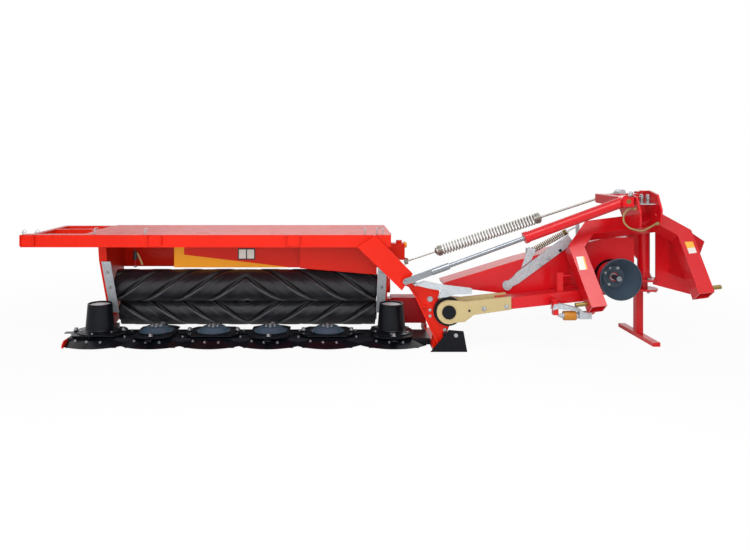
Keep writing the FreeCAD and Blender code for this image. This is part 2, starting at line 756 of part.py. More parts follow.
# Front panel with its yellow wedge
stripe_edge = s.panel_outer + s.stripe_width
panel_inner = side_inner[0] - s.strip_sheet
wedge_low = s.panel_low + 3  # the wedge's blunt point
red_outline = (
    (stripe_edge, sheet_under),
    (stripe_edge, s.stripe_knee),
    (s.stripe_point, wedge_low),
    (s.stripe_point, s.panel_low),
    (panel_inner, s.panel_low),
    (panel_inner, sheet_under),
)
yellow_outline = (
    (s.panel_outer, sheet_under),
    (s.panel_outer, s.panel_low),
    (s.stripe_point, s.panel_low),
    (s.stripe_point, wedge_low),
    (stripe_edge, s.stripe_knee),
    (stripe_edge, sheet_under),
)
red_panel = pad("RedPanel", "XZ_Plane", red_outline, s.cover_sheet, (0, s.panel_line, 0))
gusset_outer = side_inner[0] - 622
gusset_inner = side_inner[0] - 66
gusset_line = s.panel_line - 110
gusset_outline = (
    (gusset_outer, s.panel_low + 12),
    (gusset_inner, s.panel_low - 35),
    (gusset_inner, sheet_under),
    (gusset_outer, sheet_under),
)
gusset = pad("Gusset", "XZ_Plane", gusset_outline, s.cover_sheet, (0, gusset_line, 0))
node("front_panel", together("FrontPanel", red_panel, gusset))
node("panel_stripe", pad("PanelStripe", "XZ_Plane", yellow_outline, s.cover_sheet, (0, s.panel_line, 0)))

# Rollers: rubber lugs that wind from each end and meet as an arrow in the middle
rubber_start = side_outer[1] + s.roller_outer_gap
rubber_end = side_inner[0] - s.roller_inner_gap
# corners of one lug's section: degrees from the lug's middle, and how deep each lies under the tip
lug_corners = ((-35, 0), (-12, 0), (12, 0), (35, 0), (39, s.lug_depth.value), (51, s.lug_depth.value))
slice_turn = 18  # degrees that the lugs wind from one section to the next


def winding_rubber(name, tip, hand):
    """The rubber as a shell of flat facets between sections that turn along its length."""
    starts = int(s.lug_starts.value)
    half = (rubber_end.value - rubber_start.value) / 2
    wound = 360 * half / s.lug_lead.value
    count = math.ceil(wound / slice_turn)
    points = []
    for i in range(-count, count + 1):
        turn = hand * wound * abs(i) / count
        for lug in range(starts):
            for angle, depth in lug_corners:
                around_axis = math.radians(360 / starts * lug + angle * 4 / starts + turn)
                radius = tip - depth
                rim = (radius * math.cos(around_axis), radius * math.sin(around_axis))
                points.append(vector(half * i / count, *rim))
    corners = starts * len(lug_corners)
    facets = []
    for i in range(2 * count):
        for k in range(corners):
            low, high = i * corners + k, i * corners + (k + 1) % corners
            low_next, high_next = low + corners, high + corners
            if (i < count) == (hand > 0):
                facets += [(low, high, low_next), (high, high_next, low_next)]
            else:
                facets += [(low, high, high_next), (low, high_next, low_next)]
    skin = Part.Shape()
    skin.makeShapeFromMesh((points, facets), 0.01, True)
    ends = [Part.Face(Part.makePolygon([*ring, ring[0]])) for ring in (points[:corners], points[-corners:])]
    closed = Part.Compound(skin.Faces + ends)
    closed.sewShape()
    rubber = doc.addObject("Part::Feature", f"{name}Rubber")
    rubber.Shape = Part.Solid(closed.Shells[0])
    return rubber


def roller(name, y, z, tip, hand):
    """A roller on its shaft; hand says which way the arrow of its lugs points."""
    rubber = winding_rubber(name, tip.value, hand)
    place(rubber, ((rubber_start + rubber_end) / 2, y, z))
    start = side_outer[0] - s.bearing_depth + s.bearing_inset
    end = side_inner[1] + s.bearing_depth - s.bearing_inset
    shaft = cylinder(f"{name}Shaft", s.shaft_radius, end - start, (start, y, z), Z_TO_X)
    rolled = fuse(name, rubber, shaft)
    rolled.Refine = False
    return rolled


upper_roller = roller("RollerUpper", s.upper_roller_y, s.upper_roller_z, s.upper_roller_tip, -1)
node("roller_upper", upper_roller)
lower_roller = roller("RollerLower", s.lower_roller_y, s.lower_roller_z, s.lower_roller_tip, 1)
node("roller_lower", lower_roller)

# Inner end of the mower: oblique channel, bracket, hub, shoe and drive housings
channel_outline = around(s.rod_eye_x, s.rod_eye_z, ((-197, 297.5), (-314, 218.5), (-21, -67.5), (50, 42.5)))
channel_tail_outline = around(
    s.rod_eye_x, s.rod_eye_z, ((-121, 211.5), (-303, 211.5), (-21, -67.5), (50, 42.5))
)
channel_depth = s.beam_front - s.channel_front
tail_depth = s.bracket_front - s.channel_front


def open_channel(name, outline, depth):
    """A plate with its edges folded back, open behind."""
    skin = pad(f"{name}Skin", "XZ_Plane", outline, depth, (0, s.channel_front, 0))
    hollow_start = s.channel_front + s.channel_sheet
    inner = inset(outline, s.channel_sheet.value)
    hollow = pad(f"{name}Hollow", "XZ_Plane", inner, depth, (0, hollow_start, 0))
    return cut(name, skin, hollow)


channel_foot_thick = 12
channel_foot_outline = around(
    s.rod_eye_x, s.rod_eye_z, ((-13, -38.5), (27, 26.5), (51, 1.5), (51, -42.5), (27, -53.5))
)
channel_foot = pad(
    "ChannelFoot",
    "XZ_Plane",
    channel_foot_outline,
    channel_foot_thick,
    (0, s.bracket_front - channel_foot_thick, 0),
)
eye_boss_radius = 26
eye_boss_length = 19
eye_boss = cylinder(
    "EyeBoss",
    eye_boss_radius,
    eye_boss_length,
    (s.rod_eye_x, s.channel_front - eye_boss_length, s.rod_eye_z),
    Z_TO_Y,
)
support_channel = fuse(
    "SupportChannel",
    open_channel("ChannelTop", channel_outline, channel_depth),
    open_channel("ChannelTail", channel_tail_outline, tail_depth),
    channel_foot,
    eye_boss,
)
node("support_channel", support_channel)

# outlines below are distances across and up from the lift pivot
bracket_back = s.bracket_front + s.bracket_thick
bracket_outline = (
    (-269.5, 170),
    (-216.5, 91),
    (-160.5, -30),
    (-74.5, -215),
    (-19.5, -204),
    (1.5, -127),
    (16.5, -91),
    (16.5, -64),
    (-44.5, -11),
    (-64.5, 91),
    (-54.5, 121),
    (-59.5, 144),
    (-238.5, 182),
)
bracket_plate = pad(
    "BracketPlate",
    "XZ_Plane",
    around(s.pivot_x, s.pivot_z, bracket_outline),
    s.bracket_thick,
    (0, s.bracket_front, 0),
)
bracket_eye_radius = s.eye_radius - 4
bracket_eye = cylinder(
    "BracketEye", bracket_eye_radius, s.bracket_thick, (s.pivot_x, s.bracket_front, s.pivot_z), Z_TO_Y
)
edge_line = ((-251.5, 143), (-216.5, 91), (-160.5, -30), (-74.5, -215))
fold = (10, 3)  # sheet of the folded edge, across and up
edge_outline = edge_line + tuple((u + fold[0], v + fold[1]) for u, v in reversed(edge_line))
fold_front = s.bracket_front - s.bracket_flange
folded_edge = pad(
    "FoldedEdge",
    "XZ_Plane",
    around(s.pivot_x, s.pivot_z, edge_outline),
    s.bracket_flange,
    (0, fold_front, 0),
)
gusset_plate = box(
    "GussetPlate",
    (s.pivot_x - 185, s.pivot_x - 135),
    (fold_front + 5, s.bracket_front),
    (s.pivot_z + 28, s.pivot_z + 36),
)
hub_play = 5
hub_back = s.arm_back - hub_play
hub_length = hub_back - s.bracket_front
hub = cylinder("Hub", s.hub_radius, hub_length, (s.pivot_x, s.bracket_front, s.pivot_z), Z_TO_Y)
hub_bore = cylinder(
    "HubBore", s.pivot_pin + s.running, hub_length, (s.pivot_x, s.bracket_front, s.pivot_z), Z_TO_Y
)
stem_right = s.pivot_x - 14.5
stem_back = s.bed_back + 40
stem = box("Stem", (bar_inner, stem_right), (s.bracket_front, stem_back), (s.bed_low, s.bed_high))
spine_outline = ((-99.5, -216), (-14.5, -216), (16.5, -64), (-44.5, -11))
spine_depth = 60
spine = pad(
    "Spine", "XZ_Plane", around(s.pivot_x, s.pivot_z, spine_outline), spine_depth, (0, bracket_back, 0)
)
bracket = fuse("BracketSolid", bracket_plate, bracket_eye, folded_edge, gusset_plate, hub, stem, spine)
node("inner_bracket", cut("InnerBracket", bracket, hub_bore))

flange_depth = s.bracket_front - s.flange_front
flange_base = (s.pivot_x, s.flange_front, s.pivot_z)
flange = cylinder("Flange", s.flange_radius, flange_depth, flange_base, Z_TO_Y)
flange_bore = cylinder("FlangeBore", s.pivot_pin + s.running, flange_depth, flange_base, Z_TO_Y)
node("hub_flange", cut("HubFlange", flange, flange_bore))

shoe_front = s.bracket_front - 45
shoe_back = shoe_front + 365
shoe_left = s.pivot_x - 120.5
shoe_right = s.pivot_x + 122.5
sole_start = shoe_front + 4
shoe_face_outline = (
    (s.pivot_x + 1.5, 145),
    (shoe_left, 0),
    (shoe_right, 0),
    (s.pivot_x + 97.5, 137),
)
shoe_face = pad("ShoeFace", "XZ_Plane", shoe_face_outline, s.shoe_plate, (0, shoe_front, 0))
shoe_sole = box("ShoeSole", (bar_inner, shoe_right), (sole_start, shoe_back), (0, s.bed_low))
cheek_back = shoe_front + 345
cheek_knee = shoe_front + 60
shoe_side_outline = (
    (sole_start, 0),
    (cheek_back, 0),
    (cheek_back, 30),
    (cheek_knee, 120),
    (sole_start, 130),
)
shoe_side = pad("ShoeSide", "YZ_Plane", shoe_side_outline, s.shoe_plate, (s.pivot_x + 85.5, 0, 0))
shoe_link = box(
    "ShoeLink",
    (s.pivot_x - 34.5, s.pivot_x - 4.5),
    (shoe_front + s.shoe_plate, s.bracket_front),
    (60, 120),
)
node("inner_shoe", fuse("InnerShoe", shoe_face, shoe_sole, shoe_side, shoe_link))

lever_outline = (
    (-243.5, 190),
    (-170.5, 215),
    (-44.5, 188),
    (144.5, 165),
    (144.5, 127),
    (35.5, 125),
    (-23.5, 107),
    (-79.5, 102),
    (-54.5, 150),
    (-134.5, 163),
)
lever = pad(
    "Lever",
    "XZ_Plane",
    around(s.pivot_x, s.pivot_z, lever_outline),
    s.lever_thick,
    (0, s.lever_front, 0),
)
boss_start = s.lever_front + s.lever_thick - 2
lever_boss = cylinder(
    "LeverBoss",
    s.lever_boss,
    s.bracket_front - boss_start,
    (s.pivot_x - 222.5, boss_start, s.pivot_z + 190),
    Z_TO_Y,
)
node("latch_plate", fuse("LatchPlate", lever, lever_boss))

rear_box_outer = side_inner[1] + s.bearing_depth + 10
rear_box_inner = s.pivot_x - 80.5
rear_front = s.bed_back + 80
rear_back = rear_front + 130
rear_low = 72
rear_body = box("RearBody", (rear_box_outer, rear_box_inner), (rear_front, rear_back), (rear_low, 258))
rear_flange = box("RearFlange", (side_inner[1], rear_box_outer), (rear_front, rear_front + 86), (92, 250))
node("rear_box", fuse("RearBox", rear_body, rear_flange))
box_link = box("BoxLink", (bar_inner, rear_box_inner), (stem_back, rear_back), (s.bed_low, rear_low))
node("rear_link", box_link)

lug_front = s.spring_y + 14
lug_thick = 12
drive_right = s.spring_foot_x - 7
drive_low = s.spring_foot_z + 9
drive_high = s.spring_foot_z + 129
drive = box("Drive", (side_inner[1], drive_right), (lug_front, lug_front + 76), (drive_low, drive_high))
cap_radius = 21
cap_high = 22
cap = cylinder("OilCap", cap_radius, cap_high, (drive_right - 40, lug_front + 28, drive_high))
node("drive_box", fuse("DriveBox", drive, cap))
lug_outline = around(s.spring_foot_x, s.spring_foot_z, ((-7, -26), (19, -19), (19, 19), (-7, 25)))
node("spring_lug", pad("SpringLug", "XZ_Plane", lug_outline, lug_thick, (0, lug_front, 0)))

# Arm: plates, tube, pin, guard, turret and column sleeve
arm_plate_outline = (
    (0, -74),
    (105.5, -64),
    (165.5, -18),
    (411.5, 17),
    (411.5, 103),
    (105.5, 71),
    (0, 79),
)
tip_x = s.pivot_x + 335.5
elbow_x = -450
tube_low = s.pivot_z + 8
rise = 70


def arm_side(name, y):
    """One tan arm plate, its eye bored for the lift pin."""
    web = pad(
        f"{name}Web", "XZ_Plane", around(s.pivot_x, s.pivot_z, arm_plate_outline), s.arm_plate, (0, y, 0)
    )
    eye = cylinder(f"{name}Eye", s.eye_radius, s.arm_plate, (s.pivot_x, y, s.pivot_z), Z_TO_Y)
    bore_radius = s.pivot_pin + pin_press
    bore = cylinder(f"{name}Bore", bore_radius, s.arm_plate, (s.pivot_x, y, s.pivot_z), Z_TO_Y)
    return cut(name, fuse(f"{name}Solid", web, eye), bore)


pin_press = 0.2
front_plate_y = s.arm_front - s.arm_plate
arm_plates = together(
    "ArmPlates", arm_side("ArmFrontPlate", front_plate_y), arm_side("ArmRearPlate", s.arm_back)
)
node("arm_plates", arm_plates)
arm_tube_outline = (
    (tip_x, tube_low),
    (elbow_x, tube_low + rise),
    (elbow_x, tube_low + rise + s.arm_high),
    (tip_x, tube_low + s.arm_high),
)
arm_tube = pad(
    "ArmTubeBar", "XZ_Plane", arm_tube_outline, s.arm_back - s.arm_front, (0, s.arm_front, 0)
)
link_overlap = 2
arm_link = box(
    "ArmLink",
    (elbow_x - 190, elbow_x),
    (s.arm_back - link_overlap, s.guard_front),
    (tube_low + 63, tube_low + 143),
)
post_x = elbow_x - 232
post_half = 20
post_y = s.arm_front + 55
post_top = 517
post = box(
    "Post",
    (post_x - post_half, post_x + post_half),
    (post_y - post_half, post_y + post_half),
    (375, post_top),
)
post_rod_radius = 6
post_rod = cylinder("PostRod", post_rod_radius, 137, (post_x, post_y, post_top - 24), Z_TO_X)
release_x = -754
release_half = 16
release_y = -470
release_gap = 20  # half the width between the release link's plates
release_lug = box(
    "ReleaseLug",
    (release_x - release_half, release_x + release_half),
    (release_y - release_gap, release_y + release_gap),
    (262, 345),
)
release_arm = box(
    "ReleaseArm",
    (release_x - release_half, release_x + release_half),
    (release_y, s.arm_front),
    (338, 360),
)
node("arm_tube", fuse("ArmTube", arm_tube, arm_link, post, post_rod, release_lug, release_arm))

cap_thick = 8
pin_length = s.arm_back + s.arm_plate + 6 - front_plate_y
pin = cylinder("LiftPinBar", s.pivot_pin, pin_length, (s.pivot_x, front_plate_y, s.pivot_z), Z_TO_Y)
pin_cap_base = (s.pivot_x, front_plate_y - cap_thick, s.pivot_z)
pin_cap = cylinder("LiftPinCap", s.pivot_cap, cap_thick, pin_cap_base, Z_TO_Y)
node("lift_pin", fuse("LiftPin", pin, pin_cap))

# Release link in front of the arm: two plates, a block, and a rod that carries the soft buffer
link_plate = 6
block_outer = -602
link_end = -524
link_outline = (
    (-778, 296),
    (-768, 334),
    (-725, 336),
    (-598, 306),
    (-574, 281),
    (link_end, 280),
    (link_end, 238),
    (block_outer, 238),
    (block_outer, 288),
    (-735, 304),
)
link_plates = [
    pad(f"LinkPlate{name}", "XZ_Plane", link_outline, link_plate, (0, y, 0))
    for name, y in (("Front", release_y - release_gap - link_plate), ("Rear", release_y + release_gap))
]
link_block = box(
    "LinkBlock", (block_outer, link_end), (release_y - release_gap, release_y + release_gap), (238, 280)
)
rod_start_x = -735
buffer_start_x = -700
buffer_z = 256
buffer_rod = 8
washer = 6
buffer_end = buffer_start_x - rod_start_x + s.buffer_length
nut_start = buffer_start_x - rod_start_x - 22
rod_end = block_outer - rod_start_x
buffer_bar = turned(
    "BufferBar",
    (
        (0, 0),
        (buffer_rod, 0),
        (buffer_rod, nut_start),
        (13, nut_start),
        (13, nut_start + 16),
        (20, nut_start + 16),
        (20, nut_start + 22),
        (buffer_rod, nut_start + 22),
        (buffer_rod, buffer_end),
        (26, buffer_end),
        (26, buffer_end + washer),
        (buffer_rod, buffer_end + washer),
        (buffer_rod, rod_end),
        (0, rod_end),
    ),
    (rod_start_x, release_y, buffer_z),
    Z_TO_X,
)
node("release_link", fuse("ReleaseLink", *link_plates, link_block, buffer_bar))
buffer_play = 0.2
buffer_bore = buffer_rod + buffer_play
buffer_waist = s.buffer_radius - 2
soft_buffer = turned(
    "ReleaseBuffer",
    (
        (buffer_bore, 0),
        (buffer_waist, 0),
        (s.buffer_radius, 5),
        (s.buffer_radius, s.buffer_length - 5),
        (buffer_waist, s.buffer_length),
        (buffer_bore, s.buffer_length),
    ),
    (buffer_start_x, release_y, buffer_z),
    Z_TO_X,
)
node("release_buffer", soft_buffer)

# Belt guard: a shallow box, open behind
guard_wall = s.guard_sheet * 1.5
guard_knee_x = s.pivot_x + 526.5
guard_knee_z = s.pivot_z + 318
guard_crown_x = s.guard_right - 182
guard_crown_z = 735
guard_outline = (
    (s.pivot_x - 1.5, s.pivot_z + 156),
    (s.pivot_x + 5.5, s.pivot_z + 136),
    (s.pivot_x + 535.5, s.pivot_z + 66),
    (s.guard_right, 340),
    (s.guard_right, guard_crown_z),
    (guard_crown_x, guard_crown_z),
    (guard_knee_x, guard_knee_z),
)
guard_depth = s.guard_back - s.guard_front
guard_skin = pad("GuardSkin", "XZ_Plane", guard_outline, guard_depth, (0, s.guard_front, 0))
guard_hollow = pad(
    "GuardHollow",
    "XZ_Plane",
    inset(guard_outline, guard_wall.value),
    guard_depth - s.guard_sheet,
    (0, s.guard_front + s.guard_sheet, 0),
)
node("belt_guard", cut("BeltGuard", guard_skin, guard_hollow))

sleeve_length = s.sleeve_high - s.sleeve_low
sleeve = cylinder("Sleeve", s.sleeve_radius, sleeve_length, (0, s.column_y, s.sleeve_low))
bore_over = 10  # cuts run this far past what they go through
sleeve_bore = cylinder(
    "SleeveBore",
    s.column_pin + s.running,
    s.turret_high - s.sleeve_low + 2 * bore_over,
    (0, s.column_y, s.sleeve_low - bore_over),
)
web_thick = 24
web_top = s.sleeve_high - 20
web = pad(
    "ArmWeb",
    "XZ_Plane",
    ((s.guard_right, 653), (s.guard_right, web_top), (0, web_top), (0, s.sleeve_low + 50)),
    web_thick,
    (0, s.column_y - web_thick / 2, 0),
)
web_side = box(
    "WebSide",
    (s.guard_right, s.guard_right + web_thick / 2),
    (s.guard_front + 60, s.guard_back - 20),
    (420, guard_crown_z),
)
turret_half = 32
turret_y = (s.column_y - turret_half, s.column_y + turret_half)
turret_back = box("TurretBack", (s.cylinder_top_x - 30, 0), turret_y, (s.turret_low, s.turret_high))
turret_ring = cylinder(
    "TurretRing", s.sleeve_radius + 18, s.turret_high - s.turret_low, (0, s.column_y, s.turret_low)
)
trunnion_cheek = 16
trunnion_play = 6
ear_reach = s.barrel_radius + trunnion_play + trunnion_cheek
turret_arm = box(
    "TurretArm",
    (s.cylinder_top_x - 38, s.cylinder_top_x + 34),
    (s.cylinder_y - ear_reach, s.column_y),
    (s.turret_low - 4, s.turret_high),
)
turret_core = cylinder("TurretCore", s.sleeve_radius, 20, (0, s.column_y, s.sleeve_high - 10))
sleeve_all = fuse("SleeveAll", sleeve, web, web_side, turret_back, turret_ring, turret_core, turret_arm)
gap_half = s.barrel_radius + trunnion_play
trunnion_gap = box(
    "TrunnionGap",
    (s.cylinder_top_x - 120, s.cylinder_top_x + 70),
    (s.cylinder_y - gap_half, s.cylinder_y + gap_half),
    (s.turret_low - 70, s.turret_high + 70),
)
trunnion_base = (s.cylinder_top_x, s.cylinder_y - ear_reach, s.cylinder_top_z)
pin_bore = cylinder("PinBore", s.cylinder_pin, 2 * ear_reach, trunnion_base, Z_TO_Y)
sleeve_cuts = fuse("SleeveCuts", trunnion_gap, pin_bore, sleeve_bore)
node("arm_sleeve", cut("ArmSleeve", sleeve_all, sleeve_cuts))

lug_half = 17
upper_pin_radius = 7
eye_gap = 12
upper_lug_y = (s.column_y + turret_half, s.spring_y - eye_gap)
turret_middle = (s.turret_low + s.turret_high) / 2
upper_lug = pad(
    "UpperLug",
    "XZ_Plane",
    (
        (s.spring_top_x - lug_half, turret_middle),
        (s.spring_top_x + lug_half, turret_middle),
        (s.spring_top_x + lug_half, s.spring_top_z),
        (s.spring_top_x - lug_half, s.spring_top_z),
    ),
    upper_lug_y[1] - upper_lug_y[0],
    (0, upper_lug_y[0], 0),
)
upper_boss = cylinder(
    "UpperBoss",
    lug_half + 6,
    upper_lug_y[1] - upper_lug_y[0],
    (s.spring_top_x, upper_lug_y[0], s.spring_top_z),
    Z_TO_Y,
)
upper_pin_start = upper_lug_y[1] - 6
upper_pin = cylinder(
    "UpperPin", upper_pin_radius, 40, (s.spring_top_x, upper_pin_start, s.spring_top_z), Z_TO_Y
)
node("spring_bracket", fuse("SpringBracket", upper_lug, upper_boss, upper_pin))

# Input shaft, its bearing casing, ring and shield
Y_BACK = FreeCAD.Rotation(vector(1, 0, 0), 90)
shield_bore = s.stub_radius + 14
dish_deep = s.dish_back - s.dish_front
dish = turned(
    "Dish",
    (
        (shield_bore, 0),
        (s.dish_base, 0),
        (s.dish_rim, dish_deep - 16),
        (s.dish_rim, dish_deep),
        (s.dish_rim - s.dish_wall, dish_deep),
        (s.dish_rim - s.dish_wall, dish_deep - 14),
        (s.dish_base - 3, s.dish_wall),
        (shield_bore, s.dish_wall),
    ),
    (s.shaft_x, s.dish_back, s.shaft_z),
    Y_BACK,
)
node("input_shield", dish)
casing_bore = s.stub_radius + 8
ring_front = s.guard_front - s.ring_thick
casing_deep = ring_front - s.dish_back
casing = turned(
    "Casing",
    (
        (casing_bore, 0),
        (s.casing_radius, 0),
        (s.casing_radius, casing_deep * 0.4),
        (s.casing_radius - 8, casing_deep * 0.75),
        (s.casing_nose, casing_deep),
        (casing_bore, casing_deep),
    ),
    (s.shaft_x, ring_front, s.shaft_z),
    Y_BACK,
)
node("input_housing", casing)
ring_base = (s.shaft_x, ring_front, s.shaft_z)
ring_disc = cylinder("RingDisc", s.ring_radius, s.ring_thick, ring_base, Z_TO_Y)
ring_bore = cylinder("RingBore", casing_bore, s.ring_thick, ring_base, Z_TO_Y)
node("input_ring", cut("InputRing", ring_disc, ring_bore))
stub_back = s.guard_front - 1
stub_front = s.dish_front + 30
stub = cylinder("Stub", s.stub_radius, stub_back - stub_front, (s.shaft_x, stub_front, s.shaft_z), Z_TO_Y)
collar_start = s.dish_back + 2
stub_collar = cylinder(
    "StubCollar", casing_bore - s.running, 20, (s.shaft_x, collar_start, s.shaft_z), Z_TO_Y
)
node("input_stub", fuse("InputStub", stub, stub_collar))

# Lift cylinder
cylinder_top = point(s.cylinder_top_x, s.cylinder_y, s.cylinder_top_z)
rod_eye = point(s.rod_eye_x, s.cylinder_y, s.rod_eye_z)
cylinder_line = along(cylinder_top, rod_eye)
stroke_line = (rod_eye - cylinder_top).Length
barrel_foot = 20
chamber_foot = 60
gland_length = 26
gland_radius = s.barrel_radius + 3.5
rod_bore = s.rod_radius + s.running
barrel = turned(
    "Barrel",
    (
        (0, barrel_foot),
        (s.barrel_radius, barrel_foot),
        (s.barrel_radius, s.barrel_length - gland_length),
        (gland_radius, s.barrel_length - gland_length),
        (gland_radius, s.barrel_length),
        (rod_bore, s.barrel_length),
        (rod_bore, chamber_foot),
        (0, chamber_foot),
    ),
)
on_line(barrel, cylinder_line, 0)
eye_half = s.barrel_radius - 3
barrel_eye = cylinder(
    "BarrelEye",
    s.barrel_radius + 4,
    2 * eye_half,
    (s.cylinder_top_x, s.cylinder_y - eye_half, s.cylinder_top_z),
    Z_TO_Y,
)
eye_bore = cylinder(
    "BarrelEyeBore", s.cylinder_pin + s.running, 2 * ear_reach, trunnion_base, Z_TO_Y
)
node("cylinder_barrel", cut("BarrelSolid", fuse("BarrelAll", barrel, barrel_eye), eye_bore))
node("cylinder_pin", cylinder("Trunnion", s.cylinder_pin, 2 * ear_reach, trunnion_base, Z_TO_Y))

rod_start = s.barrel_length - 155
socket_length = 120
socket_start = stroke_line - 300
rod_bar = on_line(
    cylinder("RodBar", s.rod_radius, stroke_line - 240 - rod_start), cylinder_line, rod_start
)
rod_socket = on_line(cylinder("RodSocket", s.rod_sleeve, socket_length), cylinder_line, socket_start)
fork_thick = 12
fork_half = 20
fork_length = 190
fork = doc.addObject("Part::Box", "Fork")
bind(fork, "Length", fork_thick)
bind(fork, "Width", 2 * fork_half)
bind(fork, "Height", fork_length)
quarter = FreeCAD.Rotation(vector(0, 0, 1), 90)
fork_turn = FreeCAD.Placement(vector(0, 0, stroke_line - fork_length), quarter)
fork_shift = FreeCAD.Placement(vector(-fork_thick / 2, -fork_half, 0), Z_UP)
fork.Placement = cylinder_line.multiply(fork_turn).multiply(fork_shift)
fork_eye = cylinder(
    "ForkEye",
    fork_half,
    fork_thick,
    (s.rod_eye_x, s.cylinder_y - fork_thick / 2, s.rod_eye_z),
    Z_TO_Y,
)
float_pin_radius = 9
float_pin_start = s.cylinder_y - 17
boss_play = 0.5
float_pin_length = s.channel_front - eye_boss_length - boss_play - float_pin_start
float_pin = cylinder(
    "FloatPin",
    float_pin_radius,
    float_pin_length,
    (s.rod_eye_x, float_pin_start, s.rod_eye_z),
    Z_TO_Y,
)
node("cylinder_rod", fuse("CylinderRod", rod_bar, rod_socket, fork, fork_eye, float_pin))

# Balance spring
spring_top = point(s.spring_top_x, s.spring_y, s.spring_top_z)
spring_foot = point(s.spring_foot_x, s.spring_y, s.spring_foot_z)
spring_line = along(spring_foot, spring_top)
spring_length = (spring_top - spring_foot).Length
coil_end = s.coil_foot + s.coil_length
core_over = 10
coil = on_line(cylinder("CoilOut", s.coil_radius, s.coil_length), spring_line, s.coil_foot)
coil_core = on_line(
    cylinder("CoilCore", s.coil_radius - s.coil_wire, s.coil_length + 2 * core_over),
    spring_line,
    s.coil_foot - core_over,
)
node("spring_coil", cut("SpringCoil", coil, coil_core))
plug_length = 40
plug_radius = s.coil_radius - s.coil_wire - 1
eye_start = 12
hanger_radius = s.spring_rod + 3
upper_turn = turned(
    "UpperTurn",
    (
        (0, coil_end - plug_length),
        (plug_radius, coil_end - plug_length),
        (plug_radius, coil_end),
        (hanger_radius, coil_end + 12),
        (hanger_radius, spring_length - 60),
        (s.spring_rod, spring_length - 50),
        (s.spring_rod, spring_length - eye_start),
        (0, spring_length - eye_start),
    ),
)
on_line(upper_turn, spring_line, 0)
upper_eye = cylinder(
    "UpperEye", 20, eye_gap, (s.spring_top_x, s.spring_y - eye_gap / 2, s.spring_top_z), Z_TO_Y
)
upper_eye_bore = cylinder(
    "UpperEyeBore",
    upper_pin_radius + s.running,
    eye_gap,
    (s.spring_top_x, s.spring_y - eye_gap / 2, s.spring_top_z),
    Z_TO_Y,
)
anchor = cut("SpringAnchor", fuse("SpringAnchorAll", upper_turn, upper_eye), upper_eye_bore)
node("spring_anchor", anchor)
lower_turn = turned(
    "LowerTurn",
    (
        (0, eye_start),
        (s.spring_rod, eye_start),
        (s.spring_rod, s.coil_foot - 20),
        (plug_radius, s.coil_foot - 8),
        (plug_radius, s.coil_foot + plug_length),
        (0, s.coil_foot + plug_length),
    ),
)
on_line(lower_turn, spring_line, 0)
lower_eye_thick = 8
lower_eye_y = s.spring_y - lower_eye_thick / 2
lower_eye = cylinder(
    "LowerEye", 16, lower_eye_thick, (s.spring_foot_x, lower_eye_y, s.spring_foot_z), Z_TO_Y
)
foot_play = 0.4
foot_pin = cylinder(
    "FootPin",
    6,
    lug_front - foot_play - lower_eye_y,
    (s.spring_foot_x, lower_eye_y, s.spring_foot_z),
    Z_TO_Y,
)
node("spring_rod", fuse("SpringRod", lower_turn, lower_eye, foot_pin))

# Brace in front of the belt guard: a channel on an eye bolt
brace_front = s.guard_front - 0.5 - s.brace_thick
brace_start = point(-999, brace_front, 406)
brace_end = point(-560, brace_front, 728)
brace_run = brace_end - brace_start
brace_length = brace_run.Length
brace_half = s.brace_wide / 2
brace_neck = 22
brace_outline = (
    (0, -brace_neck),
    (70, -brace_half),
    (brace_length, -brace_half),
    (brace_length, brace_half),
    (110, brace_half),
    (60, brace_neck),
    (0, brace_neck),
)
inner_half = brace_half - s.brace_sheet
brace_hollow_outline = (
    (90, -inner_half),
    (brace_length + bore_over, -inner_half),
    (brace_length + bore_over, inner_half),
    (90, inner_half),
)
brace_tilt = FreeCAD.Rotation(vector(0, -1, 0), math.degrees(math.atan2(brace_run.z, brace_run.x)))
brace_skin = pad("BraceSkin", "XZ_Plane", brace_outline, s.brace_thick, tuple(brace_start), brace_tilt)
brace_hollow = pad(
    "BraceHollow",
    "XZ_Plane",
    brace_hollow_outline,
    s.brace_thick,
    (brace_start.x, s.brace_sheet.value + brace_start.y, brace_start.z),
    brace_tilt,
)
brace_eye = cylinder("BraceEye", s.brace_eye, s.brace_thick, tuple(brace_start), Z_TO_Y)
brace_bolt_head = 9
brace_bolt = cylinder(
    "BraceBolt",
    17,
    brace_bolt_head,
    (brace_start.x, brace_start.y - brace_bolt_head, brace_start.z),
    Z_TO_Y,
)
node("guard_brace", fuse("GuardBrace", cut("BraceChannel", brace_skin, brace_hollow), brace_eye, brace_bolt))

# Small spring over the guard, on a rod between a bracket and a lug
lock_low = point(-810, s.lock_spring_y, 637)
lock_high = point(-572, s.lock_spring_y, 767)
lock_line = along(lock_low, lock_high)
lock_length = (lock_high - lock_low).Length
lock_wire = 5
lock_coil = on_line(cylinder("LockCoil", s.lock_spring_radius, lock_length), lock_line, 0)
lock_core = on_line(
    cylinder("LockCore", s.lock_spring_radius - lock_wire, lock_length + 2 * core_over),
    lock_line,
    -core_over,
)
node("lock_spring", cut("LockSpring", lock_coil, lock_core))
collar = 8
lock_tail = 34
lock_reach = 93
lock_bar = turned(
    "LockBar",
    (
        (0, -lock_tail),
        (s.lock_rod, -lock_tail),
        (s.lock_rod, -collar),
        (s.lock_spring_radius - 1, -collar),
        (s.lock_spring_radius - 1, 0),
        (s.lock_rod, 0),
        (s.lock_rod, lock_length),
        (s.lock_spring_radius - 1, lock_length),
        (s.lock_spring_radius - 1, lock_length + collar),
        (s.lock_rod, lock_length + collar),
        (s.lock_rod, lock_length + lock_reach),
        (0, lock_length + lock_reach),
    ),
)
on_line(lock_bar, lock_line, 0)
lock_sheet = 6
bracket_y = s.guard_front - lock_sheet
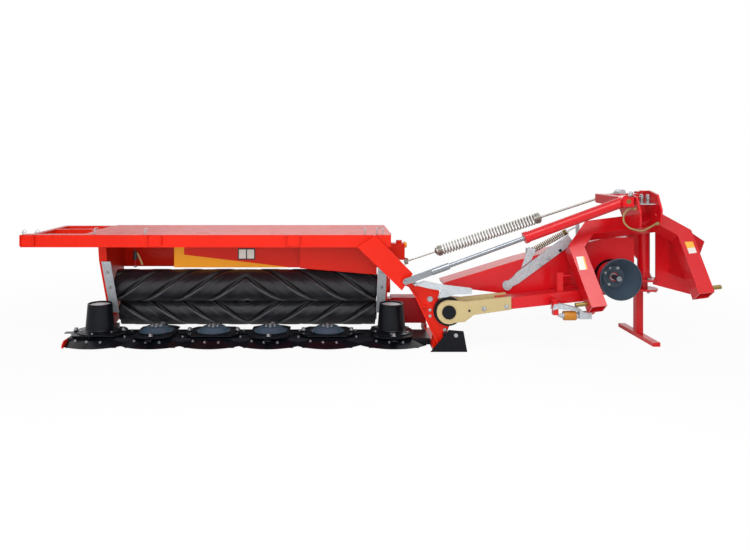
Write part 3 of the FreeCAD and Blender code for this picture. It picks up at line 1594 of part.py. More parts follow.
lock_bracket = pad(
    "LockBracket",
    "XZ_Plane",
    ((-900, 527), (-831, 577), (-798, 655), (-850, 668)),
    lock_sheet,
    (0, bracket_y, 0),
)
lock_block = box("LockBlock", (-852, -824), (bracket_y, s.lock_spring_y + 10), (608, 656))
lock_lug_x = (-500, -484)
top_slope = (guard_crown_z - guard_knee_z) / (guard_crown_x - guard_knee_x)
lug_feet = [(x, guard_knee_z + (x - guard_knee_x) * top_slope) for x in lock_lug_x]
lock_lug_top = 838
lock_lug = pad(
    "LockLug",
    "XZ_Plane",
    (*lug_feet, (lock_lug_x[1], lock_lug_top), (lock_lug_x[0], lock_lug_top)),
    32,
    (0, s.lock_spring_y - 16, 0),
)
node("lock_rod", fuse("LockRod", lock_bar, lock_bracket, lock_block, lock_lug))

# Headstock arch, in its own leaning frame: u across, v up along the lean, w back through the tube
lean = math.radians(s.arch_lean.value)
roll = math.radians(s.arch_roll.value)
across = vector(math.cos(roll), 0, math.sin(roll))
back = vector(0, math.cos(lean), -math.sin(lean))
back = (back - across * back.dot(across)).normalize()
up = across.cross(back)
arch_origin = vector(-179, -556, 442)
arch_frame = FreeCAD.Placement(
    FreeCAD.Matrix(
        across.x, back.x, up.x, arch_origin.x,
        across.y, back.y, up.y, arch_origin.y,
        across.z, back.z, up.z, arch_origin.z,
        0, 0, 0, 1,
    )
)


def arch_outline(side):
    """The arch between its outer and inner edge, as an outline across and up; side shrinks the tube."""
    half = s.arch_tube / 2 - side
    turn = 0.25
    outer = (
        (s.arch_foot_half + half, s.arch_foot),
        (s.arch_shoulder_half + half, s.arch_shoulder + half * turn),
        (s.arch_top_half + half * turn, s.arch_top + half),
    )
    inner = (
        (s.arch_top_half - half * turn, s.arch_top - half),
        (s.arch_shoulder_half - half, s.arch_shoulder - half * turn),
        (s.arch_foot_half - half, s.arch_foot),
    )
    left = [(-u, v) for u, v in reversed(outer)]
    left_in = [(-u, v) for u, v in reversed(inner)]
    return list(outer) + left + left_in + list(inner)


def set_in_arch(thing, u=0, v=0, w=0):
    """Puts a piece drawn across X, along Y backward and up Z into the arch's leaning frame."""
    spot = vector(size_of(u).value, size_of(w).value, size_of(v).value)
    thing.Placement = arch_frame.multiply(FreeCAD.Placement(spot, thing.Placement.Rotation))
    return thing


arch_skin = set_in_arch(pad("ArchSkin", "XZ_Plane", arch_outline(0), s.arch_depth))
core_depth = s.arch_depth - 2 * s.arch_wall
arch_core = set_in_arch(pad("ArchCore", "XZ_Plane", arch_outline(s.arch_wall), core_depth), w=s.arch_wall)
mouth_depth = 40
foot_opening = []
for i, side in enumerate((-1, 1)):
    opening = doc.addObject("Part::Box", f"FootOpening{i}")
    mouth_width = s.arch_tube - 2 * s.arch_wall
    bind(opening, "Length", mouth_width)
    bind(opening, "Width", core_depth)
    bind(opening, "Height", mouth_depth)
    shift_u = side * s.arch_foot_half - mouth_width / 2
    foot_opening.append(set_in_arch(opening, shift_u, s.arch_foot - mouth_depth / 2, s.arch_wall))
arch_tube = cut("ArchTube", arch_skin, fuse("ArchHollow", arch_core, *foot_opening))
catch_thick = 14
catch_root = s.arch_depth
catch_outline = (
    (catch_root, s.arch_foot),
    (catch_root + 42, s.arch_foot),
    (catch_root + 64, s.arch_foot + 12),
    (catch_root + 70, s.arch_foot + 28),
    (catch_root + 64, s.arch_foot + 42),
    (catch_root, s.arch_foot + 52),
)
catch = pad("ReleaseCatch", "YZ_Plane", catch_outline, catch_thick)
set_in_arch(catch, -s.arch_foot_half - 12)
node("headstock_arch", fuse("HeadstockArch", arch_tube, catch))

hitch_pins = []
pin_seat = 0.9
slant = (s.arch_shoulder_half - s.arch_foot_half) * s.hitch_pin_rise / (s.arch_shoulder - s.arch_foot)
for name, side in (("Right", -1), ("Left", 1)):
    pin_bar = doc.addObject("Part::Cylinder", f"HitchPin{name}")
    bind(pin_bar, "Radius", s.hitch_pin)
    bind(pin_bar, "Height", s.hitch_pin_length)
    start_u = side * (s.arch_foot_half + s.arch_tube / 2 + slant + pin_seat)
    pin_bar.Placement = FreeCAD.Placement(vector(0, 0, 0), FreeCAD.Rotation(vector(0, 1, 0), 90 * side))
    hitch_pins.append(set_in_arch(pin_bar, start_u, s.arch_foot + s.hitch_pin_rise, s.arch_depth / 2))
node("hitch_pins", together("HitchPins", *hitch_pins))

# distances back and up from the top link hole
ear_outline = ((174, -2), (64, -47), (-9, -80), (-88, -12), (-115, 85), (-26, 168), (71, 203), (174, 178))
shelf_depth = 60


def ear(name, u):
    """One top link ear: an outline backward and up, its thickness across."""
    outline = around(s.link_back, s.link_high, ear_outline)
    holes = ((s.link_back, s.link_high, s.link_bore),)
    return set_in_arch(pad(name, "YZ_Plane", outline, s.ear_thick, circles=holes), u)


ears = [ear("EarRight", s.ear_start - s.ear_thick), ear("EarLeft", s.ear_start + s.ear_gap)]
ear_shelf = doc.addObject("Part::Box", "EarShelf")
bind(ear_shelf, "Length", s.ear_gap)
bind(ear_shelf, "Width", shelf_depth)
bind(ear_shelf, "Height", 150)
set_in_arch(ear_shelf, s.ear_start, s.link_high + 8, -shelf_depth)
node("top_link_bracket", fuse("TopLinkBracket", *ears, ear_shelf))

# Hydraulic hose between two fittings on the ears, hanging in a loop in front of them
fitting_radius = 10
fitting_length = 18
right_face = s.ear_start - s.ear_thick
left_face = s.ear_start + s.ear_gap
fitting_places = (("Right", right_face, 467, -228, -1), ("Left", left_face, 372, -168, -1))
fittings = []
hose_ends = []
for name, u, v, w, side in fitting_places:
    fitting = doc.addObject("Part::Cylinder", f"Fitting{name}")
    bind(fitting, "Radius", fitting_radius)
    bind(fitting, "Height", fitting_length)
    fitting.Placement = FreeCAD.Placement(vector(0, 0, 0), FreeCAD.Rotation(vector(0, 1, 0), 90 * side))
    fittings.append(set_in_arch(fitting, u, v, w))
    hose_ends.append(arch_frame.multVec(vector(u.value + side * (fitting_length - 2), w, v)))
# X, Y, Z of the loop's corners
hose_corners = (
    (-300, -530, 957),
    (-334, -532, 925),
    (-336, -532, 870),
    (-300, -536, 832),
    (-222, -545, 812),
    (-160, -522, 836),
)


def bent_tube(name, points, radius):
    """A tube along straight runs that tangent arcs join."""
    edges = []
    start = points[0]
    for before, corner, after in zip(points, points[1:], points[2:]):
        near = before - corner
        far = after - corner
        reach = 0.45 * min(near.Length, far.Length)
        half_turn = (math.pi - near.getAngle(far)) / 2
        arc_radius = reach / math.tan(half_turn)
        near.normalize()
        far.normalize()
        inward = (near + far).normalize()
        first = corner + near * reach
        final = corner + far * reach
        middle = corner + inward * (math.hypot(reach, arc_radius) - arc_radius)
        edges += [Part.LineSegment(start, first).toShape(), Part.Arc(first, middle, final).toShape()]
        start = final
    edges.append(Part.LineSegment(start, points[-1]).toShape())
    ring = Part.Wire(Part.makeCircle(radius, points[0], points[1] - points[0]))
    hose = doc.addObject("Part::Feature", name)
    hose.Shape = Part.Wire(edges).makePipeShell([ring], True, True)
    return hose


hose_route = [hose_ends[0], *(vector(*corner) for corner in hose_corners), hose_ends[1]]
hose = bent_tube("Hose", hose_route, s.hose_radius.value)
node("turret_hose", fuse("TurretHose", hose, *fittings))

# Column pin, its plates and the web to the left leg
cap_play = 4
column_low = s.low_plate_z - 2
column_top = s.turret_high + cap_play + 20
column = cylinder("ColumnPin", s.column_pin, column_top - column_low, (0, s.column_y, column_low))
column_cap = cylinder("ColumnCap", 62, 14, (0, s.column_y, s.turret_high + cap_play))
node("column_pin", fuse("ColumnPinAll", column, column_cap))
low_plate = cylinder("LowPlate", s.plate_radius, s.round_plate, (0, s.column_y, s.low_plate_z))
high_plate = cylinder("HighPlate", s.plate_radius, s.round_plate, (0, s.column_y, s.high_plate_z))
seat_play = 1
seat_length = s.sleeve_low - seat_play - s.high_plate_z
seat_ring = cylinder("SeatRing", s.sleeve_radius + 4, seat_length, (0, s.column_y, s.high_plate_z))
plates_bore = cylinder(
    "PlatesBore",
    s.column_pin + pin_press,
    s.sleeve_low - s.low_plate_z + 2 * bore_over,
    (0, s.column_y, s.low_plate_z - bore_over),
)
web_outline = around(
    0,
    s.low_plate_z,
    ((44, 46), (300, -22), (300, 68), (400, 348), (250, 448), (60, 408), (60, 88), (44, 82)),
)
leg_web_thick = 14
leg_web_y = s.column_y - 60
leg_web = pad("LegWeb", "XZ_Plane", web_outline, leg_web_thick, (0, leg_web_y, 0))
web_hole = cylinder("WebHole", 88, leg_web_thick, (285, leg_web_y, s.low_plate_z + 236), Z_TO_Y)
socket_half = s.stand_side / 2 + s.socket_play
socket_side = (-socket_half - s.socket_wall, socket_half + s.socket_wall)
socket_out = box("SocketOut", socket_side, socket_side, (s.socket_low, s.socket_high))
socket_hollow = (-socket_half, socket_half)
socket_in = box(
    "SocketIn",
    socket_hollow,
    socket_hollow,
    (s.socket_low - bore_over, s.socket_high + bore_over),
)
holed_web = cut("HoledWeb", leg_web, web_hole)
column_all = fuse("ColumnAll", low_plate, high_plate, seat_ring, holed_web, socket_out)
node("column_frame", cut("ColumnFrame", column_all, fuse("ColumnBores", plates_bore, socket_in)))

# Stand
stand_half = s.stand_side / 2
foot_half = s.stand_foot_length / 2
stand_width = (-stand_half, stand_half)
leg = box("Leg", stand_width, stand_width, (s.stand_foot_high, s.stand_top))
foot = box("Foot", stand_width, (-foot_half, foot_half), (0, s.stand_foot_high))
node("parking_stand", fuse("ParkingStand", leg, foot))

doc.recompute()
faults = [o.Label for o in doc.Objects if {"Invalid", "Error"} & set(o.State)]
if faults:
    raise RuntimeError(f"features that failed: {faults}")
os.makedirs("parts", exist_ok=True)
for piece in nodes:
    shape = piece.Shape
    if shape.isNull() or not shape.isValid() or not shape.Solids:
        raise RuntimeError(f"{piece.Label} has no valid solid")
    shape.exportStep(f"parts/{piece.Label}.step")
    print(piece.Label, len(shape.Solids), round(shape.Volume / 1e6, 2))
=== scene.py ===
import json
import math

import bpy
import bmesh
from mathutils import Matrix, Vector


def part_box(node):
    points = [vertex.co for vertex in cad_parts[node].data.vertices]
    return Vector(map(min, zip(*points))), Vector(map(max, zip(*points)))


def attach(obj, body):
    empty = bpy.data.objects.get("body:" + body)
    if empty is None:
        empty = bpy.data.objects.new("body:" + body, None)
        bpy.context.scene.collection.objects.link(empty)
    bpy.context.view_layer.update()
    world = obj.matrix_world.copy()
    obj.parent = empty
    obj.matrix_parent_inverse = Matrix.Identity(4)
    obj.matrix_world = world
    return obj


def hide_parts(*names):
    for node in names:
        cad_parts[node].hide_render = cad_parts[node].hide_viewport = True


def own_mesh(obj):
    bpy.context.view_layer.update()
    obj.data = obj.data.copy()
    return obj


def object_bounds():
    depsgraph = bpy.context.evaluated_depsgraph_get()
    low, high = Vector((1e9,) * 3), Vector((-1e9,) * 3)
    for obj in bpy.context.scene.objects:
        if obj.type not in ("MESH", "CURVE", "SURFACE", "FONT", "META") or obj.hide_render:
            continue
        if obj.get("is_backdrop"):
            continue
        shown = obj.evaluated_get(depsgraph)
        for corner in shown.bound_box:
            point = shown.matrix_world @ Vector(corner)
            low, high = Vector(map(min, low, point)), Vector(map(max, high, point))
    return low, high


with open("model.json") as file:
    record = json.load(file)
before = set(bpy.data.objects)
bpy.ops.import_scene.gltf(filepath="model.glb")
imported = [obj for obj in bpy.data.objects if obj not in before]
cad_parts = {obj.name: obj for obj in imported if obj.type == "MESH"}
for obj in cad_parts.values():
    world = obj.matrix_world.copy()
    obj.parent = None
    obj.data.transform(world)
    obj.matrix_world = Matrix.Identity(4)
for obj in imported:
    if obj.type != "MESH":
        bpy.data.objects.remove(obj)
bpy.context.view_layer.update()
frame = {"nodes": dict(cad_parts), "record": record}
nodes = frame["nodes"]
millimetre = 0.001
print("frame loaded:", len(nodes), "nodes")


def hexColour(code):  # sRGB hex to linear RGBA
    parts = [int(code[i:i + 2], 16) / 255 for i in (1, 3, 5)]
    return tuple(c / 12.92 if c <= 0.04045 else ((c + 0.055) / 1.055) ** 2.4 for c in parts) + (1.0,)


def addNode(tree, kind, settings=None, inputs=None):  # a node among the inputs links by its first output
    added = tree.nodes.new(kind)
    for key, value in (settings or {}).items():
        setattr(added, key, value)
    for key, value in (inputs or {}).items():
        if isinstance(value, bpy.types.Node):
            value = value.outputs[0]
        if isinstance(value, bpy.types.NodeSocket):
            tree.links.new(value, added.inputs[key])
        else:
            added.inputs[key].default_value = value
    return added


# camera and stage
cameraSet = {
    "place": (-2.215, -4.903, 1.27),
    "lens": 32.64,  # on a 36 mm sensor
    "shiftX": 0.0587,
    "shiftY": -0.1533,
}
lightSet = {
    "skyLevel": 0.30,
    "floorHalf": 60.0,
    "floorColour": "#F6F6F5",
    "cameraGlow": 0.92,  # share of the near floor that the camera sees as plain white
    "glowNear": 1.6,  # metres from the middle where the floor starts to turn plain white
    "glowFar": 5.0,
}
lampSet = {
    # place, size, power, whether glossy surfaces mirror it
    "keyLight": ((-3.2, -5.2, 1.55), (5.0, 2.4), 190, False),
    "fillLight": ((-1.5, -3.2, 3.5), (5.0, 1.0), 105, True),
    "backLight": ((-2.0, 4.2, 3.2), (5.0, 1.5), 60, True),
}


def makeCamera():
    camera = bpy.data.cameras.new("photoCamera")
    camera.sensor_width = 36
    camera.lens = cameraSet["lens"]
    camera.shift_x = cameraSet["shiftX"]
    camera.shift_y = cameraSet["shiftY"]
    holder = bpy.data.objects.new("photoCamera", camera)
    holder.location = cameraSet["place"]
    holder.rotation_euler = (math.radians(90), 0, 0)
    bpy.context.scene.collection.objects.link(holder)
    bpy.context.scene.camera = holder


def areaLight(name, place, size, power, mirrored):
    lamp = bpy.data.lights.new(name, "AREA")
    lamp.shape = "RECTANGLE"
    lamp.size, lamp.size_y = size
    lamp.energy = power
    holder = bpy.data.objects.new(name, lamp)
    holder.location = place
    aim = Vector((-2.0, -0.1, 0.5)) - Vector(place)
    holder.rotation_euler = aim.to_track_quat("-Z", "Y").to_euler()
    holder.visible_glossy = mirrored
    bpy.context.scene.collection.objects.link(holder)


def seenPlain(tree):  # 1 for rays that should meet the plain white background
    path = addNode(tree, "ShaderNodeLightPath")
    first = addNode(tree, "ShaderNodeMath", {"operation": "MAXIMUM"},
                    {0: path.outputs["Is Camera Ray"], 1: path.outputs["Is Transmission Ray"]})
    return first.outputs[0], path


def makeStage():
    world = bpy.data.worlds.new("studio")
    bpy.context.scene.world = world
    world.use_nodes = True
    tree = world.node_tree
    tree.nodes.clear()
    plain, path = seenPlain(tree)
    seen = addNode(tree, "ShaderNodeMath", {"operation": "MAXIMUM"},
        {0: plain, 1: path.outputs["Is Glossy Ray"]})
    lit = addNode(tree, "ShaderNodeBackground", None,
        {"Color": hexColour("#FFFFFF"), "Strength": lightSet["skyLevel"]})
    white = addNode(tree, "ShaderNodeBackground", None, {"Color": hexColour("#FFFFFF"), "Strength": 1.0})
    mix = addNode(tree, "ShaderNodeMixShader", None, {0: seen, 1: lit, 2: white})
    addNode(tree, "ShaderNodeOutputWorld", None, {"Surface": mix})

    half = lightSet["floorHalf"]
    mesh = bpy.data.meshes.new("floor")
    mesh.from_pydata([(-half, -half, 0), (half, -half, 0), (half, half, 0), (-half, half, 0)], [],
        [(0, 1, 2, 3)])
    floor = bpy.data.objects.new("floor", mesh)
    floor.location.z = -0.0006
    bpy.context.scene.collection.objects.link(floor)
    paper = bpy.data.materials.new("paperFloor")
    paper.use_nodes = True
    tree = paper.node_tree
    tree.nodes.clear()
    plain, path = seenPlain(tree)
    where = addNode(tree, "ShaderNodeTexCoord")
    centred = addNode(tree, "ShaderNodeVectorMath", {"operation": "SUBTRACT"},
        {0: where.outputs["Object"], 1: (-2.0, 0, 0)})
    away = addNode(tree, "ShaderNodeVectorMath", {"operation": "LENGTH"}, {0: centred})
    rise = addNode(tree, "ShaderNodeMapRange", {"interpolation_type": "SMOOTHSTEP"}, {
        "Value": away.outputs["Value"], "From Min": lightSet["glowNear"], "From Max": lightSet["glowFar"],
        "To Min": lightSet["cameraGlow"], "To Max": 1.0})
    share = addNode(tree, "ShaderNodeMath", {"operation": "MULTIPLY"}, {0: plain, 1: rise})
    matt = addNode(tree, "ShaderNodeBsdfDiffuse", None, {"Color": hexColour(lightSet["floorColour"])})
    glow = addNode(tree, "ShaderNodeEmission", None, {"Color": hexColour("#FFFFFF"), "Strength": 1.0})
    mix = addNode(tree, "ShaderNodeMixShader", None, {0: share, 1: matt, 2: glow})
    addNode(tree, "ShaderNodeOutputMaterial", None, {"Surface": mix})
    mesh.materials.append(paper)
    floor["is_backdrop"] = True
    for name, values in lampSet.items():
        areaLight(name, *values)
    bpy.context.scene.view_settings.view_transform = "Standard"


makeCamera()
makeStage()
print("camera and stage ready")


# finishes
enamelSet = {
    # base, dusty tone, roughness, orange peel bump, share of dust, clear coat, refraction
    "orangeRedEnamel": ("#CE1D08", "#BC4C38", 0.34, 0.030, 0.04, 0.06, 1.33),
    "crimsonEnamel": ("#C41019", "#B8484C", 0.28, 0.030, 0.05, 0.25, 1.45),
    "darkRedEnamel": ("#8E0E16", "#6A3330", 0.38, 0.030, 0.10, 0.08, 1.40),
    "blackEnamel": ("#0A0D13", "#16191E", 0.30, 0.020, 0.04, 0.12, 1.28),
    # the domes are the discs' black enamel; this lighter blue-grey base is a painted reflection of the sky on
    # their slopes
    "domeEnamelPaintedReflection": ("#3C5060", "#364654", 0.14, 0.010, 0.04, 0.60, 1.45),
    "yellowEnamel": ("#EC9C10", "#D2A04C", 0.34, 0.030, 0.06, 0.08, 1.40),
    "tanEnamel": ("#B5A377", "#A3946F", 0.44, 0.040, 0.08, 0.05, 1.40),
    "greyEnamel": ("#B9BFC3", "#A4A9AB", 0.38, 0.030, 0.08, 0.10, 1.45),
}
enamelGloss = 0.36  # below the usual half, because the room that it mirrors is plain white all round
metalSet = {
    # base, second tone, roughness low and high, crystal size in mm, share of the crystals, metallic
    "galvanisedSteel": ("#CDD2D6", "#AEB5BB", 0.40, 0.56, 9.0, 0.8, 0.45),
    "springSteel": ("#B9B6AE", "#8C8982", 0.28, 0.44, 3.0, 0.3, 0.85),
    "brightSteel": ("#9CA0A6", "#85898F", 0.22, 0.34, 2.0, 0.1, 1.0),
    "zincSteel": ("#C3C5C8", "#A2A5A9", 0.24, 0.40, 2.5, 0.3, 0.9),
    "yellowZincSteel": ("#A98F50", "#86744A", 0.28, 0.46, 4.0, 0.45, 0.9),
    "goldSpringSteel": ("#94701F", "#664A16", 0.30, 0.46, 3.0, 0.35, 0.7),
}
rubberSet = {
    # base, bloom
    "rollerRubber": ("#1B1C20", "#34353A"),
    # the groove tone is painted shade on the groove floors; the last tone is a painted highlight along one edge
    # of each lug
    "grooveRubberPaintedShade": ("#060608", "#121214"),
    "lugEdgeRubberPaintedHighlight": ("#4A4B50", "#6A6A6C"),
}
plasticSet = {
    # base, second tone, roughness
    "shieldPlastic": ("#33404D", "#3F4D5B", 0.32),
    "braidedHose": ("#9A8A58", "#7D6F45", 0.50),
    "amberUrethane": ("#C07C14", "#A4640E", 0.26),
    "whiteFilm": ("#DEDCD4", "#D2CFC7", 0.40),
    "yellowFilm": ("#F0B040", "#E6A12E", 0.35),
    "blackFilm": ("#141417", "#1D1D20", 0.40),
    "tanHose": ("#B99A66", "#A4875A", 0.45),
}


def newMaterial(name):
    material = bpy.data.materials.new(name)
    material.use_nodes = True
    tree = material.node_tree
    tree.nodes.clear()
    shader = addNode(tree, "ShaderNodeBsdfPrincipled")
    addNode(tree, "ShaderNodeOutputMaterial", None, {"Surface": shader})
    where = addNode(tree, "ShaderNodeTexCoord").outputs["Object"]
    return material, tree, shader, where


# sprayed two-pack enamel on sheet steel: a clear gloss over a slightly wavy coat, thin dust on what faces up
def enamel(name, base, dusty, roughness, peel, dust, coat, refraction):
    material, tree, shader, where = newMaterial(name)
    broad = addNode(tree, "ShaderNodeTexNoise", None, {"Vector": where, "Scale": 2.2, "Detail": 4.0})
    speck = addNode(tree, "ShaderNodeTexNoise", None,
        {"Vector": where, "Scale": 14.0, "Detail": 4.0, "Roughness": 0.5})
    facing = addNode(tree, "ShaderNodeNewGeometry")
    parts = addNode(tree, "ShaderNodeSeparateXYZ", None, {0: facing.outputs["Normal"]})
    upward = addNode(tree, "ShaderNodeMapRange", None,
        {"Value": parts.outputs["Z"], "From Min": 0.2, "From Max": 1.0})
    patch = addNode(tree, "ShaderNodeMapRange", None,
                    {"Value": speck.outputs["Fac"], "From Min": 0.42, "From Max": 0.72, "To Max": dust})
    lying = addNode(tree, "ShaderNodeMath", {"operation": "MULTIPLY_ADD"}, {0: upward, 1: 1.6, 2: 0.5})
    share = addNode(tree, "ShaderNodeMath", {"operation": "MULTIPLY", "use_clamp": True},
                    {0: patch, 1: lying})
    tone = addNode(tree, "ShaderNodeMapRange", None,
                   {"Value": broad.outputs["Fac"], "From Min": 0.3, "From Max": 0.7, "To Min": 0.94,
                       "To Max": 1.05})
    colour = addNode(tree, "ShaderNodeMix", {"data_type": "RGBA"},
                     {0: share, 6: hexColour(base), 7: hexColour(dusty)})
    shaded = addNode(tree, "ShaderNodeHueSaturation", None, {"Value": tone, "Color": colour.outputs[2]})
    tree.links.new(shaded.outputs[0], shader.inputs["Base Color"])
    rough = addNode(tree, "ShaderNodeMath", {"operation": "MULTIPLY_ADD"}, {0: share, 1: 0.9, 2: roughness})
    tree.links.new(rough.outputs[0], shader.inputs["Roughness"])
    shader.inputs["IOR"].default_value = refraction
    shader.inputs["Specular IOR Level"].default_value = enamelGloss
    shader.inputs["Coat Weight"].default_value = coat
    shader.inputs["Coat Roughness"].default_value = 0.10
    # orange peel, about 3 mm from crest to crest, drawn four times as coarse so that it shows without sparkling
    wave = addNode(tree, "ShaderNodeTexNoise", None, {"Vector": where, "Scale": 80.0, "Detail": 1.0})
    edge = addNode(tree, "ShaderNodeBevel", {"samples": 4}, {"Radius": 1.6 * millimetre})
    bump = addNode(tree, "ShaderNodeBump", None,
                   {"Strength": peel, "Distance": 0.0006, "Height": wave.outputs["Fac"], "Normal": edge})
    tree.links.new(bump.outputs[0], shader.inputs["Normal"])
    return material


# bare, drawn or hot-dipped steel: crystal patches or fine stain in the coat, over a tight satin
def metal(name, base, second, smooth, dull, cell, spangle, metallic):
    material, tree, shader, where = newMaterial(name)
    crystals = addNode(tree, "ShaderNodeTexVoronoi", None, {"Vector": where, "Scale": 1000.0 / cell})
    gray = addNode(tree, "ShaderNodeRGBToBW", None, {0: crystals.outputs["Color"]})
    stain = addNode(tree, "ShaderNodeTexNoise", None, {"Vector": where, "Scale": 14.0, "Detail": 5.0})
    pick = addNode(tree, "ShaderNodeMath", {"operation": "MULTIPLY"}, {0: gray, 1: spangle})
    blend = addNode(tree, "ShaderNodeMath", {"operation": "MULTIPLY_ADD", "use_clamp": True},
                    {0: stain.outputs["Fac"], 1: 0.55, 2: pick})
    colour = addNode(tree, "ShaderNodeMix", {"data_type": "RGBA"},
                     {0: blend, 6: hexColour(base), 7: hexColour(second)})
    tree.links.new(colour.outputs[2], shader.inputs["Base Color"])
    rough = addNode(tree, "ShaderNodeMapRange", None, {"Value": blend, "To Min": smooth, "To Max": dull})
    tree.links.new(rough.outputs[0], shader.inputs["Roughness"])
    shader.inputs["Metallic"].default_value = metallic
    grain = addNode(tree, "ShaderNodeTexNoise", None, {"Vector": where, "Scale": 420.0, "Detail": 2.0})
    edge = addNode(tree, "ShaderNodeBevel", {"samples": 4}, {"Radius": 1.0 * millimetre})
    bump = addNode(tree, "ShaderNodeBump", None,
                   {"Strength": 0.02, "Distance": 0.0003, "Height": grain.outputs["Fac"], "Normal": edge})
    tree.links.new(bump.outputs[0], shader.inputs["Normal"])
    return material


# moulded rubber: near black with a dull sheen and a bloom of dust; the rollers' groove floors get a darker copy
# of it as painted shade, and one edge of each lug a lighter copy as a painted highlight
def rubberCompound(name, base, bloom):
    material, tree, shader, where = newMaterial(name)
    cloud = addNode(tree, "ShaderNodeTexNoise", None,
        {"Vector": where, "Scale": 18.0, "Detail": 6.0, "Roughness": 0.6})
    fine = addNode(tree, "ShaderNodeTexNoise", None, {"Vector": where, "Scale": 320.0, "Detail": 3.0})
    share = addNode(tree, "ShaderNodeMapRange", None,
                    {"Value": cloud.outputs["Fac"], "From Min": 0.45, "From Max": 0.75, "To Max": 0.45})
    colour = addNode(tree, "ShaderNodeMix", {"data_type": "RGBA"},
                     {0: share, 6: hexColour(base), 7: hexColour(bloom)})
    tree.links.new(colour.outputs[2], shader.inputs["Base Color"])
    rough = addNode(tree, "ShaderNodeMapRange", None,
        {"Value": cloud.outputs["Fac"], "To Min": 0.30, "To Max": 0.50})
    tree.links.new(rough.outputs[0], shader.inputs["Roughness"])
    shader.inputs["IOR"].default_value = 1.52
    bump = addNode(tree, "ShaderNodeBump", None,
                   {"Strength": 0.25, "Distance": 0.0005, "Height": fine.outputs["Fac"]})
    tree.links.new(bump.outputs[0], shader.inputs["Normal"])
    return material


# injection moulded or cast polymer, and printed film: fine spark texture and a soft sheen
def mouldedPlastic(name, base, second, roughness):
    material, tree, shader, where = newMaterial(name)
    cloud = addNode(tree, "ShaderNodeTexNoise", None, {"Vector": where, "Scale": 9.0, "Detail": 4.0})
    colour = addNode(tree, "ShaderNodeMix", {"data_type": "RGBA"},
                     {0: cloud.outputs["Fac"], 6: hexColour(base), 7: hexColour(second)})
    tree.links.new(colour.outputs[2], shader.inputs["Base Color"])
    shader.inputs["Roughness"].default_value = roughness
    shader.inputs["IOR"].default_value = 1.49
    spark = addNode(tree, "ShaderNodeTexNoise", None, {"Vector": where, "Scale": 700.0, "Detail": 1.0})
    bump = addNode(tree, "ShaderNodeBump", None,
                   {"Strength": 0.2, "Distance": 0.0003, "Height": spark.outputs["Fac"]})
    tree.links.new(bump.outputs[0], shader.inputs["Normal"])
    return material


finish = {name: enamel(name, *values) for name, values in enamelSet.items()}
finish.update({name: metal(name, *values) for name, values in metalSet.items()})
finish.update({name: mouldedPlastic(name, *values) for name, values in plasticSet.items()})
finish.update({name: rubberCompound(name, *values) for name, values in rubberSet.items()})

slotFinish = {
    "red_paint": "orangeRedEnamel",
    "frame_red": "crimsonEnamel",
    "dark_red": "darkRedEnamel",
    "black_paint": "blackEnamel",
    "yellow_film": "yellowEnamel",
    "galvanised": "galvanisedSteel",
    "spring_steel": "springSteel",
    "bright_steel": "brightSteel",
    "pin_steel": "yellowZincSteel",
    "tan_paint": "tanEnamel",
    "rubber": "rollerRubber",
    "shield_plastic": "shieldPlastic",
    "buffer_amber": "amberUrethane",
    "gold_steel": "goldSpringSteel",
    "hose_plastic": "braidedHose",
}
for part in frame["record"]["subparts"]:
    look = finish[slotFinish[part["material_slot"]]]
    cadObject = nodes[part["node"]]
    if not cadObject.material_slots:
        cadObject.data.materials.append(look)
    for holder in cadObject.material_slots:
        holder.material = look


# shared makers
def newPiece(name, mesh, body, look=None):
    holder = bpy.data.objects.new(name, mesh)
    bpy.context.scene.collection.objects.link(holder)
    if look:
        mesh.materials.append(finish[look])
    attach(holder, body)
    return holder


def makeTree(name, sizes):  # a Geometry Nodes tree with named inputs; sizes: label -> (socket kind, value)
    tree = bpy.data.node_groups.new(name, "GeometryNodeTree")
    tree.interface.new_socket("Geometry", in_out="INPUT", socket_type="NodeSocketGeometry")
    tree.interface.new_socket("Geometry", in_out="OUTPUT", socket_type="NodeSocketGeometry")
    for label, (kind, value) in sizes.items():
        socket = tree.interface.new_socket(label, in_out="INPUT", socket_type=kind)
        if value is not None:
            socket.default_value = value
    return tree, tree.nodes.new("NodeGroupInput").outputs, tree.nodes.new("NodeGroupOutput").inputs[0]


def grow(name, mesh, tree, values, place=None):  # runs a tree on a mesh and gives back the plain result
    holder = bpy.data.objects.new(name, mesh)
    bpy.context.scene.collection.objects.link(holder)
    modifier = holder.modifiers.new("grow", "NODES")
    modifier.node_group = tree
    keys = {item.name: item.identifier for item in tree.interface.items_tree
            if item.item_type == "SOCKET" and item.in_out == "INPUT"}
    for label, value in values.items():
        modifier[keys[label]] = value
    graph = bpy.context.evaluated_depsgraph_get()
    grown = bpy.data.meshes.new_from_object(holder.evaluated_get(graph))
    grown.name = name
    bpy.data.objects.remove(holder)
    if place:
        grown.transform(place)
    work = bmesh.new()
    work.from_mesh(grown)
    bmesh.ops.remove_doubles(work, verts=work.verts, dist=0.00002)
    bmesh.ops.recalc_face_normals(work, faces=work.faces)
    work.to_mesh(grown)
    work.free()
    return grown


def joinedMesh(name, meshes):
    work = bmesh.new()
    for mesh in meshes:
        work.from_mesh(mesh)
    joined = bpy.data.meshes.new(name)
    work.to_mesh(joined)
    work.free()
    return joined


# an outline in X and Y, thick along Z, then placed
def bevelledPlate(name, outline, thick, place, bevel=0.0006):
    work = bmesh.new()
    ring = [work.verts.new((u, v, 0)) for u, v in outline]
    face = work.faces.new(ring)
    lifted = bmesh.ops.extrude_face_region(work, geom=[face])["geom"]
    bmesh.ops.translate(work, verts=[v for v in lifted if isinstance(v, bmesh.types.BMVert)], vec=(0, 0, thick))
    bmesh.ops.recalc_face_normals(work, faces=work.faces)
    bmesh.ops.bevel(work, geom=work.edges[:], offset=bevel, segments=2, affect="EDGES")
    mesh = bpy.data.meshes.new(name)
    work.to_mesh(mesh)
    work.free()
    mesh.transform(place)
    return mesh


